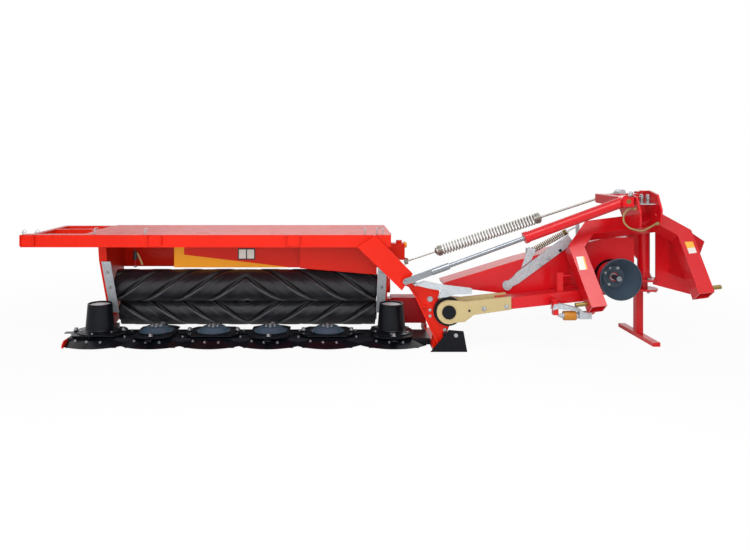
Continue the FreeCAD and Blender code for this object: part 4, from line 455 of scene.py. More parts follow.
def lathe(name, profile, place, steps=48):  # radius and height pairs, turned about Z, then placed
    work = bmesh.new()
    line = [work.verts.new((r, 0, h)) for r, h in profile]
    edges = [work.edges.new(pair) for pair in zip(line, line[1:])]
    bmesh.ops.spin(work, geom=line + edges, axis=(0, 0, 1), cent=(0, 0, 0), steps=steps, angle=math.tau)
    bmesh.ops.remove_doubles(work, verts=work.verts, dist=0.00001)
    bmesh.ops.recalc_face_normals(work, faces=work.faces)
    mesh = bpy.data.meshes.new(name)
    work.to_mesh(mesh)
    work.free()
    for face in mesh.polygons:
        face.use_smooth = True
    mesh.transform(place)
    mesh.set_sharp_from_angle(angle=math.radians(32))
    return mesh


def toward(place, direction):  # a placement whose Z points along direction
    return Matrix.Translation(place) @ Vector(direction).to_track_quat("Z", "Y").to_matrix().to_4x4()


def bentWire(name, points, radius, place):  # a wire through smooth points
    curve = bpy.data.curves.new(name, "CURVE")
    curve.dimensions = "3D"
    curve.bevel_depth = radius
    curve.bevel_resolution = 3
    curve.use_fill_caps = True
    spline = curve.splines.new("NURBS")
    spline.points.add(len(points) - 1)
    for spot, where in zip(spline.points, points):
        spot.co = (*where, 1)
    spline.order_u = 3
    spline.use_endpoint_u = True
    curve.resolution_u = 6
    holder = bpy.data.objects.new(name, curve)
    bpy.context.scene.collection.objects.link(holder)
    graph = bpy.context.evaluated_depsgraph_get()
    mesh = bpy.data.meshes.new_from_object(holder.evaluated_get(graph))
    bpy.data.objects.remove(holder)
    for face in mesh.polygons:
        face.use_smooth = True
    mesh.transform(place)
    return mesh


# springs
coilSet = {
    "turns": 38,
    "stepsPerTurn": 30,
    "wire": 4.6 * millimetre,
    "radius": 35.6 * millimetre,  # to the middle of the wire
    "closedShare": 0.065,  # share of the turns that lie close at each end
    "footRoom": 241 * millimetre,
    "length": 786 * millimetre,
    "foot": (-1.669, 0.05, 0.531),
    "top": (-0.133, 0.05, 1.037),
    "keep": 0.434,
}
lockCoilSet = {
    "turns": 22,
    "wire": 3.1 * millimetre,
    "radius": 17.9 * millimetre,
    "closedShare": 0.08,
    "low": (-0.810, -0.150, 0.637),
    "high": (-0.572, -0.150, 0.767),
}
coilSizes = {
    "Turns": ("NodeSocketFloat", 30.0),
    "Steps per turn": ("NodeSocketInt", 28),
    "Radius": ("NodeSocketFloat", 0.03),
    "Length": ("NodeSocketFloat", 0.5),
    "Wire": ("NodeSocketFloat", 0.004),
    "Closed share": ("NodeSocketFloat", 0.06),
    "Closed length": ("NodeSocketFloat", 0.02),
    "Finish": ("NodeSocketMaterial", None),
}


def makeCoilTree():
    tree, sizes, result = makeTree("coilSpring", coilSizes)
    spiral = addNode(tree, "GeometryNodeCurveSpiral", None, {
        "Resolution": sizes["Steps per turn"], "Rotations": sizes["Turns"],
        "Start Radius": sizes["Radius"], "End Radius": sizes["Radius"], "Height": 0.0})
    along = addNode(tree, "GeometryNodeSplineParameter").outputs["Factor"]
    flipped = addNode(tree, "ShaderNodeMath", {"operation": "SUBTRACT"}, {0: 1.0, 1: sizes["Closed share"]})
    openLength = addNode(tree, "ShaderNodeMath", {"operation": "SUBTRACT"},
                         {0: sizes["Length"], 1: sizes["Closed length"]})
    lower = addNode(tree, "ShaderNodeMapRange", None, {
        "Value": along, "From Min": 0.0, "From Max": sizes["Closed share"],
        "To Min": sizes["Wire"], "To Max": sizes["Closed length"]})
    upperEnd = addNode(tree, "ShaderNodeMath", {"operation": "SUBTRACT"},
        {0: sizes["Length"], 1: sizes["Wire"]})
    middle = addNode(tree, "ShaderNodeMapRange", None, {
        "Value": along, "From Min": sizes["Closed share"], "From Max": flipped,
        "To Min": 0.0, "To Max": 1.0})
    span = addNode(tree, "ShaderNodeMath", {"operation": "SUBTRACT"},
                   {0: openLength, 1: sizes["Closed length"]})
    climb = addNode(tree, "ShaderNodeMath", {"operation": "MULTIPLY_ADD"},
                    {0: middle, 1: span, 2: lower})
    tail = addNode(tree, "ShaderNodeMapRange", None, {
        "Value": along, "From Min": flipped, "From Max": 1.0, "To Min": 0.0, "To Max": 1.0})
    tailRun = addNode(tree, "ShaderNodeMath", {"operation": "SUBTRACT"},
                      {0: upperEnd, 1: openLength})
    height = addNode(tree, "ShaderNodeMath", {"operation": "MULTIPLY_ADD"},
                     {0: tail, 1: tailRun, 2: climb})
    lift = addNode(tree, "ShaderNodeCombineXYZ", None, {"Z": height})
    raised = addNode(tree, "GeometryNodeSetPosition", None,
                     {"Geometry": spiral, "Offset": lift})
    section = addNode(tree, "GeometryNodeCurvePrimitiveCircle", None,
        {"Resolution": 10, "Radius": sizes["Wire"]})
    wire = addNode(tree, "GeometryNodeCurveToMesh", None,
                   {"Curve": raised, "Profile Curve": section, "Fill Caps": True})
    smooth = addNode(tree, "GeometryNodeSetShadeSmooth", None, {"Geometry": wire})
    whole = addNode(tree, "GeometryNodeRealizeInstances", None, {"Geometry": smooth})
    dressed = addNode(tree, "GeometryNodeSetMaterial", None, {"Geometry": whole, "Material": sizes["Finish"]})
    tree.links.new(dressed.outputs[0], result)
    return tree


coilTree = makeCoilTree()


def makeSpring(name, values, start, direction, length, look):
    wires = 2 * values["wire"] * values["turns"] * values["closedShare"]
    return grow(name, bpy.data.meshes.new(name), coilTree, {
        "Turns": float(values["turns"]), "Steps per turn": values.get("stepsPerTurn", 24),
        "Radius": values["radius"], "Length": length, "Wire": values["wire"],
        "Closed share": values["closedShare"], "Closed length": wires + values["wire"],
        "Finish": finish[look]}, toward(start, direction))


springFoot, springTop = Vector(coilSet["foot"]), Vector(coilSet["top"])
springLine = (springTop - springFoot).normalized()
coilStart = springFoot + springLine * coilSet["footRoom"]
coilMesh = makeSpring("balanceCoil", coilSet, coilStart, springLine, coilSet["length"], "springSteel")
balanceCoil = newPiece("balanceCoil", coilMesh, "spring")
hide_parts("spring_coil")
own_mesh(balanceCoil)
lockLow, lockHigh = Vector(lockCoilSet["low"]), Vector(lockCoilSet["high"])
lockMesh = makeSpring("lockCoil", lockCoilSet, lockLow, (lockHigh - lockLow).normalized(),
                      (lockHigh - lockLow).length, "goldSpringSteel")
lockCoil = newPiece("lockCoil", lockMesh, "arm")
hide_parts("lock_spring")
print("springs wound")


# rollers: rubber lugs that wind from each end and meet as an arrow in the middle
rollerSet = {
    "length": 1.910,
    "middle": -2.836,
    "lead": 0.940,
    "lugs": 4,
    "groove": 17 * millimetre,
    "step": 2.4 * millimetre,  # the lower half of each lug's face lies this much deeper
    "around": 240,
    "along": 241,
    "endRoom": 12 * millimetre,
    "shaft": 25 * millimetre,
    "chamfer": 0.003,
    "flangeDrop": 0.036,  # the end flanges' radius is this much less than the lugs'
    "flangeOut": 0.008,
    "flangeIn": 0.004,
}
rollerPlaces = {
    # body, node, y, z, radius over the lugs, which way the arrow points: up for the upper roller
    "upperRubber": ("upper_roller", "roller_upper", 0.132, 0.345, 0.118, 1.0),
    "lowerRubber": ("lower_roller", "roller_lower", 0.249, 0.140, 0.112, -1.0),
}
rollerSizes = {
    "Length": ("NodeSocketFloat", 1.9),
    "Tip radius": ("NodeSocketFloat", 0.118),
    "Shaft radius": ("NodeSocketFloat", 0.025),
    "Groove depth": ("NodeSocketFloat", 0.017),
    "Step": ("NodeSocketFloat", 0.002),
    "Lugs": ("NodeSocketFloat", 4.0),
    "Turns per metre": ("NodeSocketFloat", 1.06),
    "End room": ("NodeSocketFloat", 0.012),
    "Columns": ("NodeSocketInt", 241),
    "Rows": ("NodeSocketInt", 240),
    "Finish": ("NodeSocketMaterial", None),
    "Groove painted shade finish": ("NodeSocketMaterial", None),
    "Painted highlight finish": ("NodeSocketMaterial", None),
}


def makeRollerTree():
    tree, sizes, result = makeTree("arrowRoller", rollerSizes)
    bothEnds = addNode(tree, "ShaderNodeMath", {"operation": "MULTIPLY_ADD"},
                       {0: sizes["End room"], 1: 2.0, 2: sizes["Length"]})
    grid = addNode(tree, "GeometryNodeMeshGrid", None, {
        "Size X": bothEnds, "Size Y": math.tau, "Vertices X": sizes["Columns"], "Vertices Y": sizes["Rows"]})
    place = addNode(tree, "ShaderNodeSeparateXYZ", None,
        {0: addNode(tree, "GeometryNodeInputPosition").outputs[0]})
    reach = addNode(tree, "ShaderNodeMath", {"operation": "ABSOLUTE"}, {0: place.outputs["X"]})
    turned = addNode(tree, "ShaderNodeMath", {"operation": "DIVIDE"}, {0: place.outputs["Y"], 1: math.tau})
    wound = addNode(tree, "ShaderNodeMath", {"operation": "MULTIPLY"}, {0: reach, 1: sizes["Turns per metre"]})
    unwound = addNode(tree, "ShaderNodeMath", {"operation": "SUBTRACT"}, {0: turned, 1: wound})
    counted = addNode(tree, "ShaderNodeMath", {"operation": "MULTIPLY_ADD"},
        {0: unwound, 1: sizes["Lugs"], 2: 40.5})
    across = addNode(tree, "ShaderNodeMath", {"operation": "FRACT"}, {0: counted})
    offset = addNode(tree, "ShaderNodeMath", {"operation": "SUBTRACT"}, {0: across, 1: 0.5})
    fromMiddle = addNode(tree, "ShaderNodeMath", {"operation": "ABSOLUTE"}, {0: offset})
    wall = addNode(tree, "ShaderNodeMapRange", {"interpolation_type": "SMOOTHSTEP"},
                   {"Value": fromMiddle, "From Min": 0.375, "From Max": 0.445})
    ledge = addNode(tree, "ShaderNodeMapRange", {"interpolation_type": "SMOOTHSTEP"},
                    {"Value": offset, "From Min": -0.055, "From Max": -0.015, "To Min": 1.0, "To Max": 0.0})
    worn = addNode(tree, "ShaderNodeMath", {"operation": "MULTIPLY"}, {0: ledge, 1: sizes["Step"]})
    cut = addNode(tree, "ShaderNodeMath", {"operation": "MULTIPLY_ADD"},
                  {0: wall, 1: sizes["Groove depth"], 2: worn})
    half = addNode(tree, "ShaderNodeMath", {"operation": "MULTIPLY"}, {0: sizes["Length"], 1: 0.5})
    beyond = addNode(tree, "ShaderNodeMath", {"operation": "SUBTRACT"}, {0: reach, 1: half})
    endShare = addNode(tree, "ShaderNodeMapRange", None,
                       {"Value": beyond, "From Min": 0.0, "From Max": sizes["End room"]})
    lugRadius = addNode(tree, "ShaderNodeMath", {"operation": "SUBTRACT"}, {0: sizes["Tip radius"], 1: cut})
    drop = addNode(tree, "ShaderNodeMath", {"operation": "SUBTRACT"}, {0: sizes["Shaft radius"], 1: lugRadius})
    radius = addNode(tree, "ShaderNodeMath", {"operation": "MULTIPLY_ADD"},
                     {0: drop, 1: endShare, 2: lugRadius})
    held = addNode(tree, "ShaderNodeMath", {"operation": "MINIMUM"}, {0: reach, 1: half})
    side = addNode(tree, "ShaderNodeMath", {"operation": "SIGN"}, {0: place.outputs["X"]})
    where = addNode(tree, "ShaderNodeMath", {"operation": "MULTIPLY"}, {0: held, 1: side})
    cosine = addNode(tree, "ShaderNodeMath", {"operation": "COSINE"}, {0: place.outputs["Y"]})
    sine = addNode(tree, "ShaderNodeMath", {"operation": "SINE"}, {0: place.outputs["Y"]})
    deep = addNode(tree, "ShaderNodeMath", {"operation": "MULTIPLY"}, {0: radius, 1: cosine})
    high = addNode(tree, "ShaderNodeMath", {"operation": "MULTIPLY"}, {0: radius, 1: sine})
    spot = addNode(tree, "ShaderNodeCombineXYZ", None, {"X": where, "Y": deep, "Z": high})
    # a band along one edge of each lug gets a lighter rubber as a painted highlight; the groove floor gets a
    # darker one as painted shade
    streak = addNode(tree, "ShaderNodeMapRange", {"interpolation_type": "SMOOTHSTEP"},
                     {"Value": fromMiddle, "From Min": 0.335, "From Max": 0.355})
    oneSide = addNode(tree, "ShaderNodeMath", {"operation": "LESS_THAN"}, {0: offset, 1: 0.0})
    paintedHighlight = addNode(tree, "ShaderNodeMath", {"operation": "MULTIPLY"}, {0: streak, 1: oneSide})
    paintedHighlightOutsideGroove = addNode(tree, "ShaderNodeMath", {"operation": "SUBTRACT"}, {0: paintedHighlight, 1: wall})
    marks = (("grooveShadeShare", wall, "Groove painted shade finish"), ("paintedHighlightShare", paintedHighlightOutsideGroove, "Painted highlight finish"))
    stored = grid
    for mark, level, _ in marks:
        stored = addNode(tree, "GeometryNodeStoreNamedAttribute", {"data_type": "FLOAT", "domain": "POINT"},
                         {"Geometry": stored, "Name": mark, "Value": level})
    wrapped = addNode(tree, "GeometryNodeSetPosition", None, {"Geometry": stored, "Position": spot})
    closed = addNode(tree, "GeometryNodeMergeByDistance", None, {"Geometry": wrapped, "Distance": 0.0001})
    smooth = addNode(tree, "GeometryNodeSetShadeSmooth", None, {"Geometry": closed})
    whole = addNode(tree, "GeometryNodeRealizeInstances", None, {"Geometry": smooth})
    dressed = addNode(tree, "GeometryNodeSetMaterial", None, {"Geometry": whole, "Material": sizes["Finish"]})
    for mark, _, tone in marks:
        flag = addNode(tree, "GeometryNodeInputNamedAttribute", {"data_type": "FLOAT"}, {"Name": mark})
        level = [o for o in flag.outputs if o.enabled and o.name == "Attribute"][0]
        chosen = addNode(tree, "FunctionNodeCompare", {"data_type": "FLOAT", "operation": "GREATER_THAN"},
            {0: level, 1: 0.5})
        dressed = addNode(tree, "GeometryNodeSetMaterial", None, {
            "Geometry": dressed, "Selection": chosen, "Material": sizes[tone]})
    tree.links.new(dressed.outputs[0], result)
    return tree


rollerTree = makeRollerTree()
for name, (body, node, y, z, tip, hand) in rollerPlaces.items():
    rubberMesh = grow(name, bpy.data.meshes.new(name), rollerTree, {
        "Length": rollerSet["length"], "Tip radius": tip, "Shaft radius": rollerSet["shaft"],
        "Groove depth": rollerSet["groove"], "Step": rollerSet["step"], "Lugs": float(rollerSet["lugs"]),
        "Turns per metre": hand / rollerSet["lead"], "End room": rollerSet["endRoom"],
        "Columns": rollerSet["along"], "Rows": rollerSet["around"], "Finish": finish["rollerRubber"],
        "Groove painted shade finish": finish["grooveRubberPaintedShade"], "Painted highlight finish": finish["lugEdgeRubberPaintedHighlight"]},
        Matrix.Translation((rollerSet["middle"], y, z)))
    rubber = newPiece(name, rubberMesh, body)
    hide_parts(node)
    low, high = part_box(node)
    shaftLine = toward((low[0], y, z), (1, 0, 0))
    rubberFoot = rollerSet["middle"] - rollerSet["length"] / 2 - low[0]
    rubberEnd = rubberFoot + rollerSet["length"]
    full = high[0] - low[0]
    shaft, flange = rollerSet["shaft"], tip - rollerSet["flangeDrop"]
    chamfer, outer, inner = rollerSet["chamfer"], rollerSet["flangeOut"], rollerSet["flangeIn"]
    profile = ((0, 0), (shaft - chamfer, 0), (shaft, chamfer), (shaft, rubberFoot - outer),
               (flange, rubberFoot - outer), (flange, rubberFoot + inner), (shaft, rubberFoot + inner),
               (shaft, rubberEnd - inner), (flange, rubberEnd - inner), (flange, rubberEnd + outer),
               (shaft, rubberEnd + outer), (shaft, full - chamfer), (shaft - chamfer, full), (0, full))
    newPiece(f"{body}Shaft", lathe(f"{body}Shaft", profile, shaftLine), body, "brightSteel")
print("rollers dressed")


# hex bolts with washers, set on points that carry their direction and size
boltSizes = {
    "Head height": ("NodeSocketFloat", 0.55),
    "Washer radius": ("NodeSocketFloat", 0.78),
    "Washer thickness": ("NodeSocketFloat", 0.12),
    "Finish": ("NodeSocketMaterial", None),
}


def makeBoltTree():
    tree, sizes, result = makeTree("hexBolt", boltSizes)
    washer = addNode(tree, "GeometryNodeMeshCylinder", None,
                     {"Vertices": 20, "Radius": sizes["Washer radius"], "Depth": sizes["Washer thickness"]})
    head = addNode(tree, "GeometryNodeMeshCylinder", None,
        {"Vertices": 6, "Radius": 0.577, "Depth": sizes["Head height"]})
    crown = addNode(tree, "GeometryNodeMeshCone", None, {
        "Vertices": 18, "Radius Top": 0.38, "Radius Bottom": 0.48, "Depth": 0.06})
    halfWasher = addNode(tree, "ShaderNodeMath", {"operation": "MULTIPLY"},
        {0: sizes["Washer thickness"], 1: 0.5})
    halfHead = addNode(tree, "ShaderNodeMath", {"operation": "MULTIPLY_ADD"},
                       {0: sizes["Head height"], 1: 0.5, 2: sizes["Washer thickness"]})
    top = addNode(tree, "ShaderNodeMath", {"operation": "ADD"},
        {0: sizes["Head height"], 1: sizes["Washer thickness"]})
    shifts = [addNode(tree, "ShaderNodeCombineXYZ", None, {"Z": each}) for each in (halfWasher, halfHead, top)]
    stack = addNode(tree, "GeometryNodeJoinGeometry")
    for shape, shift in zip((washer, head, crown), shifts):
        moved = addNode(tree, "GeometryNodeTransform", None, {"Geometry": shape, "Translation": shift})
        tree.links.new(moved.outputs[0], stack.inputs[0])
    facing = addNode(tree, "GeometryNodeInputNamedAttribute", {"data_type": "FLOAT_VECTOR"}, {"Name": "facing"})
    size = addNode(tree, "GeometryNodeInputNamedAttribute", {"data_type": "FLOAT"}, {"Name": "size"})
    facingOut = [o for o in facing.outputs if o.enabled and o.name == "Attribute"][0]
    sizeOut = [o for o in size.outputs if o.enabled and o.name == "Attribute"][0]
    turn = addNode(tree, "FunctionNodeAlignRotationToVector", {"axis": "Z"}, {"Vector": facingOut})
    placed = addNode(tree, "GeometryNodeInstanceOnPoints", None, {
        "Points": sizes["Geometry"], "Instance": stack, "Rotation": turn, "Scale": sizeOut})
    whole = addNode(tree, "GeometryNodeRealizeInstances", None, {"Geometry": placed})
    dressed = addNode(tree, "GeometryNodeSetMaterial", None, {"Geometry": whole, "Material": sizes["Finish"]})
    tree.links.new(dressed.outputs[0], result)
    return tree


boltTree = makeBoltTree()


def setBolts(name, body, look, rows):  # rows: place, direction, size across flats in mm
    points = bpy.data.meshes.new(name)
    points.from_pydata([row[0] for row in rows], [], [])
    points.attributes.new("facing", "FLOAT_VECTOR", "POINT").data.foreach_set("vector",
        [c for row in rows for c in row[1]])
    points.attributes.new("size", "FLOAT", "POINT").data.foreach_set("value",
        [row[2] * millimetre for row in rows])
    return newPiece(name, grow(name, points, boltTree, {"Finish": finish[look]}), body)


forward, skyward = (0, -1, 0), (0, 0, 1)
rotorSet = {
    "x": (-3.84, -3.44, -3.04, -2.64, -2.24, -1.79),
    "y": -0.118,
    "crown": 0.105,
    "plate": 0.075,
    "flange": 0.074,
    "knife": 0.168,
    "knifeBolt": 24,
    "hubBolt": 22,
    "drumBolts": (0.128, 25, 14),  # radius of their ring, degrees to the first, size across flats in mm
    "discBolts": (0.034, 30, 13),
    "dome": ((0.0, 0.1063), (0.046, 0.1063), (0.060, 0.1045), (0.0765, 0.1005), (0.086, 0.0935),
             (0.0975, 0.0857), (0.1085, 0.0785), (0.114, 0.0762), (0.120, 0.0755), (0.120, 0.0745)),
}
for index, x in enumerate(rotorSet["x"]):
    y = rotorSet["y"]
    rows = []
    for side in (-1, 1):
        reach = side * rotorSet["knife"]
        spot = (x + reach, y, rotorSet["plate"]) if index % 2 == 0 else (x, y + reach, rotorSet["plate"])
        rows.append((spot, skyward, rotorSet["knifeBolt"]))
    drum = index in (0, 5)
    ring, first, size = rotorSet["drumBolts" if drum else "discBolts"]
    height = rotorSet["flange" if drum else "crown"]
    if not drum:
        rows.append(((x, y, height), skyward, rotorSet["hubBolt"]))
    for k in range(6):
        angle = math.radians(60 * k + first)
        rows.append(((x + ring * math.cos(angle), y + ring * math.sin(angle), height), skyward, size))
    # each disc's dome takes the lighter enamel that paints the sky's reflection into its colour
    if not drum:
        dome = lathe(f"discDome_{index + 1}", rotorSet["dome"], Matrix.Translation((x, y, 0)))
        newPiece(f"discDome_{index + 1}", dome, f"rotor_{index + 1}", "domeEnamelPaintedReflection")
    setBolts(f"discBolts_{index + 1}", f"rotor_{index + 1}", "zincSteel", rows)

skidSet = {
    "centre": -0.075,
    "lip": 0.298,
    "lipHeight": 0.008,
    "slope": 0.3855,
    "bolt": 13,
    "lipBolts": ((-0.030, -0.300), (-0.116, -0.270), (0.062, -0.298)),  # X from the rotor's middle, and Y
    "bedBolts": (-0.205, -0.030),  # Y of those on the bed between two rotors
    "bedTop": 0.048,
    "halfPitch": 0.2,
}
rows = [
    ((-1.5536, -0.360, 0.3414), forward, 24),
    ((-1.5536, -0.360, 0.2679), forward, 13),
    ((-1.5536, -0.360, 0.2278), forward, 13),
    ((-1.4534, -0.360, 0.1343), forward, 17),
    ((-1.3882, -0.405, 0.1091), forward, 17),
]
for x in rotorSet["x"]:
    for across, y in skidSet["lipBolts"]:
        reach = math.hypot(across, y - skidSet["centre"])
        height = skidSet["lipHeight"] + (skidSet["lip"] - reach) * skidSet["slope"]
        lean = Vector((across / reach * skidSet["slope"], (y - skidSet["centre"]) / reach * skidSet["slope"],
            1)).normalized()
        rows.append(((x + across, y, height), tuple(lean), skidSet["bolt"]))
    if x < -2:
        rows += [((x + skidSet["halfPitch"], y, skidSet["bedTop"]), skyward, skidSet["bolt"])
                 for y in skidSet["bedBolts"]]
setBolts("mowerBolts", "mower", "zincSteel", rows)
setBolts("armBolts", "arm", "zincSteel", [
    ((-1.2032, -0.410, 0.2876), forward, 19),
    ((-1.0559, -0.410, 0.3001), forward, 19),
    ((-0.7168, -0.2175, 0.5903), forward, 16),
    ((-0.7724, -0.2175, 0.5462), forward, 16),
    ((-0.3407, -0.255, 0.4996), forward, 13),
    ((-0.2555, -0.255, 0.5348), forward, 16),
    ((-0.3150, -0.255, 0.4198), forward, 13),
    ((-0.2330, -0.255, 0.4500), forward, 11),
    ((-0.3080, -0.255, 0.5330), forward, 11),
])
setBolts("plugBolts", "arm", "blackEnamel", [
    ((-1.3004, -0.410, 0.2735), forward, 10),
    ((-0.6351, -0.2175, 0.6459), forward, 14),
])
columnSet = {"y": -0.083, "ring": 0.076, "top": 0.434, "low": 0.352, "bolt": 17,
    "angles": (-150, -90, -30, 30, 150)}
rows = []
for angle in columnSet["angles"]:
    turn = math.radians(angle)
    spot = (columnSet["ring"] * math.cos(turn), columnSet["y"] + columnSet["ring"] * math.sin(turn))
    rows.append(((*spot, columnSet["top"]), skyward, columnSet["bolt"]))
    rows.append(((*spot, columnSet["low"]), (0, 0, -1), columnSet["bolt"]))
setBolts("columnBolts", "headstock", "zincSteel", rows)
print("bolts set")


# headstock: its own leaning frame, across, up and back through the tube
archSet = {"lean": 32.4, "roll": 7.2, "origin": (-0.179, -0.556, 0.442)}


def makeArchFrame():
    lean, roll = math.radians(archSet["lean"]), math.radians(archSet["roll"])
    across = Vector((math.cos(roll), 0, math.sin(roll)))
    back = Vector((0, math.cos(lean), -math.sin(lean)))
    back = (back - across * back.dot(across)).normalized()
    up = across.cross(back)
    return Matrix.Translation(archSet["origin"]) @ Matrix((across, up, -back)).transposed().to_4x4()


archFrame = makeArchFrame()  # X across, Y up along the lean, Z out of the front face
labelSet = {
    "thick": 0.5 * millimetre,
    "bevel": 0.00015,
    "leftLeg": ((-0.3928, 0.1872), (-0.3409, 0.1864), (-0.3364, 0.2797), (-0.3886, 0.2812)),
    "leftBand": ((-0.3500, 0.1872), (-0.3409, 0.1868), (-0.3364, 0.2790), (-0.3455, 0.2800)),
    "rightLeg": ((0.3360, 0.2042), (0.3875, 0.2067), (0.3899, 0.2853), (0.3385, 0.2900)),
    "rightBand": ((0.3372, 0.2430), (0.3886, 0.2435), (0.3899, 0.2853), (0.3385, 0.2900)),
}
lifted = archFrame @ Matrix.Translation((0, 0, labelSet["thick"]))
for name, key, place, look in (
        ("leftLabel", "leftLeg", archFrame, "whiteFilm"), ("leftLabelBand", "leftBand", lifted, "yellowFilm"),
        ("rightLabel", "rightLeg", archFrame, "whiteFilm"),
        ("rightLabelBand", "rightBand", lifted, "yellowFilm")):
    mesh = bevelledPlate(name, labelSet[key], labelSet["thick"], place, labelSet["bevel"])
    newPiece(name, mesh, "headstock", look)

panelFront = Matrix(((1, 0, 0, 0), (0, 0, -1, 0.130), (0, 1, 0, 0), (0, 0, 0, 1)))  # X across, Y up, Z forward
signSet = {
    "low": (-2.905, 0.532),
    "high": (-2.775, 0.617),
    "border": 0.009,
    "halfGap": 0.0045,  # half of the bar between the two fields, less their borders
    "thick": 1.0 * millimetre,
    "bevel": 0.0003,
    "fieldThick": 0.0004,
    "fieldBevel": 0.00012,
}


def rectangle(low, high, inset=0.0):
    return ((low[0] + inset, low[1] + inset), (high[0] - inset, low[1] + inset),
            (high[0] - inset, high[1] - inset), (low[0] + inset, high[1] - inset))


signPlate = bevelledPlate("panelSign", rectangle(signSet["low"], signSet["high"]), signSet["thick"],
    panelFront, signSet["bevel"])
newPiece("panelSign", signPlate, "mower", "blackFilm")
middleX = (signSet["low"][0] + signSet["high"][0]) / 2
for side, near, far in (("Outer", signSet["low"][0], middleX + signSet["halfGap"]),
    ("Inner", middleX - signSet["halfGap"], signSet["high"][0])):
    field = rectangle((near, signSet["low"][1]), (far, signSet["high"][1]), signSet["border"])
    fieldPlace = panelFront @ Matrix.Translation((0, 0, signSet["thick"]))
    mesh = bevelledPlate(f"signField{side}", field, signSet["fieldThick"], fieldPlace, signSet["fieldBevel"])
    newPiece(f"signField{side}", mesh, "mower", "whiteFilm")
print("labels on")


# the side plates' folded front edges, and the galvanised strips screwed on them; outlines are Y and Z
flangeSet = {
    "fold": ((-0.163, 0.690), (-0.141, 0.567), (0.072, 0.137), (0.0755, 0.137), (-0.1375, 0.567),
        (-0.1595, 0.690)),
    "strip": ((-0.1465, 0.560), (0.0525, 0.160), (0.0560, 0.160), (-0.1430, 0.560)),
    "foldWidth": 0.056,
    "stripWidth": 0.064,
    "bevel": 0.0005,
    "holeFacing": (0, -0.896, -0.444),
    "foldStarts": {"Outer": -3.840, "Inner": -1.866},
    "stripStarts": {"Outer": -3.822, "Inner": -1.886},
    "holes": ((-0.1062, 0.4790), (-0.0484, 0.3628)),
    "hole": 14,
}
standing = Matrix(((0, 0, 1, 0), (1, 0, 0, 0), (0, 1, 0, 0), (0, 0, 0, 1)))
rows = []
for side in ("Outer", "Inner"):
    foldStart, stripStart = flangeSet["foldStarts"][side], flangeSet["stripStarts"][side]
    fold = bevelledPlate(f"plateFold{side}", flangeSet["fold"], flangeSet["foldWidth"],
                         Matrix.Translation((foldStart, 0, 0)) @ standing, flangeSet["bevel"])
    newPiece(f"plateFold{side}", fold, "mower", "orangeRedEnamel")
    strip = bevelledPlate(f"guardStrip{side}", flangeSet["strip"], flangeSet["stripWidth"],
                          Matrix.Translation((stripStart, 0, 0)) @ standing, flangeSet["bevel"])
    newPiece(f"guardStrip{side}", strip, "mower", "galvanisedSteel")
    middle = stripStart + flangeSet["stripWidth"] / 2
    rows += [((middle, y, z), flangeSet["holeFacing"], flangeSet["hole"]) for y, z in flangeSet["holes"]]
setBolts("stripBolts", "mower", "zincSteel", rows)
print("strips on")

# drum lids, shield ring, and what sits on top of the headstock
lidSet = {"radius": 0.0755, "z": 0.246, "rise": 0.010}
for index in (0, 5):
    place = Matrix.Translation((rotorSet["x"][index], rotorSet["y"], lidSet["z"]))
    r, h = lidSet["radius"], lidSet["rise"]
    profile = ((0, h + 0.002), (0.012, h + 0.002), (0.014, h), (r - 0.012, h), (r - 0.005, h - 0.002),
        (r - 0.001, 0), (0, 0))
    newPiece(f"drumLid_{index + 1}", lathe(f"drumLid_{index + 1}", profile, place), f"rotor_{index + 1}",
             "greyEnamel")

ringSet = {
    "place": (-0.282, -0.255, 0.472),
    "chamfer": 0.0008,
    "bands": ((0.066, 0.0705, 0.003), (0.047, 0.052, 0.006), (0.034, 0.040, 0.010)),  # inner, outer, rise
}
bands = []
for k, (inner, outer, rise) in enumerate(ringSet["bands"]):
    chamfer = ringSet["chamfer"]
    profile = ((inner, 0), (inner, rise - chamfer), (inner + chamfer, rise), (outer - chamfer, rise),
               (outer, rise - chamfer), (outer, 0))
    bands.append(lathe(f"band{k}", profile, toward(ringSet["place"], forward)))
newPiece("shieldRings", joinedMesh("shieldRings", bands), "arm", "shieldPlastic")

earSet = {"shelf": ((-0.2110, -0.500), (-0.1110, -0.500), (-0.1110, -0.400), (-0.2110, -0.400)), "high": 0.981,
    "thick": 0.004, "bevel": 0.0008}
# the shelf's light grey enamel is a painted highlight standing in for the white on its top
shelfMesh = bevelledPlate("earShelf", earSet["shelf"], earSet["thick"],
    Matrix.Translation((0, 0, earSet["high"])), earSet["bevel"])
newPiece("earShelf", shelfMesh, "headstock", "greyEnamel")
couplingSet = {
    "profile": ((0, 0), (0.013, 0), (0.013, 0.010), (0.0105, 0.012), (0.0105, 0.026), (0.014, 0.028),
                (0.014, 0.044), (0.0115, 0.046), (0.0115, 0.056), (0.008, 0.060), (0, 0.060)),
    "onShelf": ((-0.142, -0.455, 0.985), (-0.172, -0.430, 0.985)),
    "onPort": (-0.287, -0.494, 1.010),
    "portFacing": (0.25, -0.25, 0.94),
    "steps": 24,
}
couplings = [lathe(f"coupling{k}", couplingSet["profile"], Matrix.Translation(place), couplingSet["steps"])
             for k, place in enumerate(couplingSet["onShelf"])]
portPlace = toward(couplingSet["onPort"], couplingSet["portFacing"])
couplings.append(lathe("portCoupling", couplingSet["profile"], portPlace, couplingSet["steps"]))
newPiece("hoseCouplings", joinedMesh("hoseCouplings", couplings), "headstock", "zincSteel")

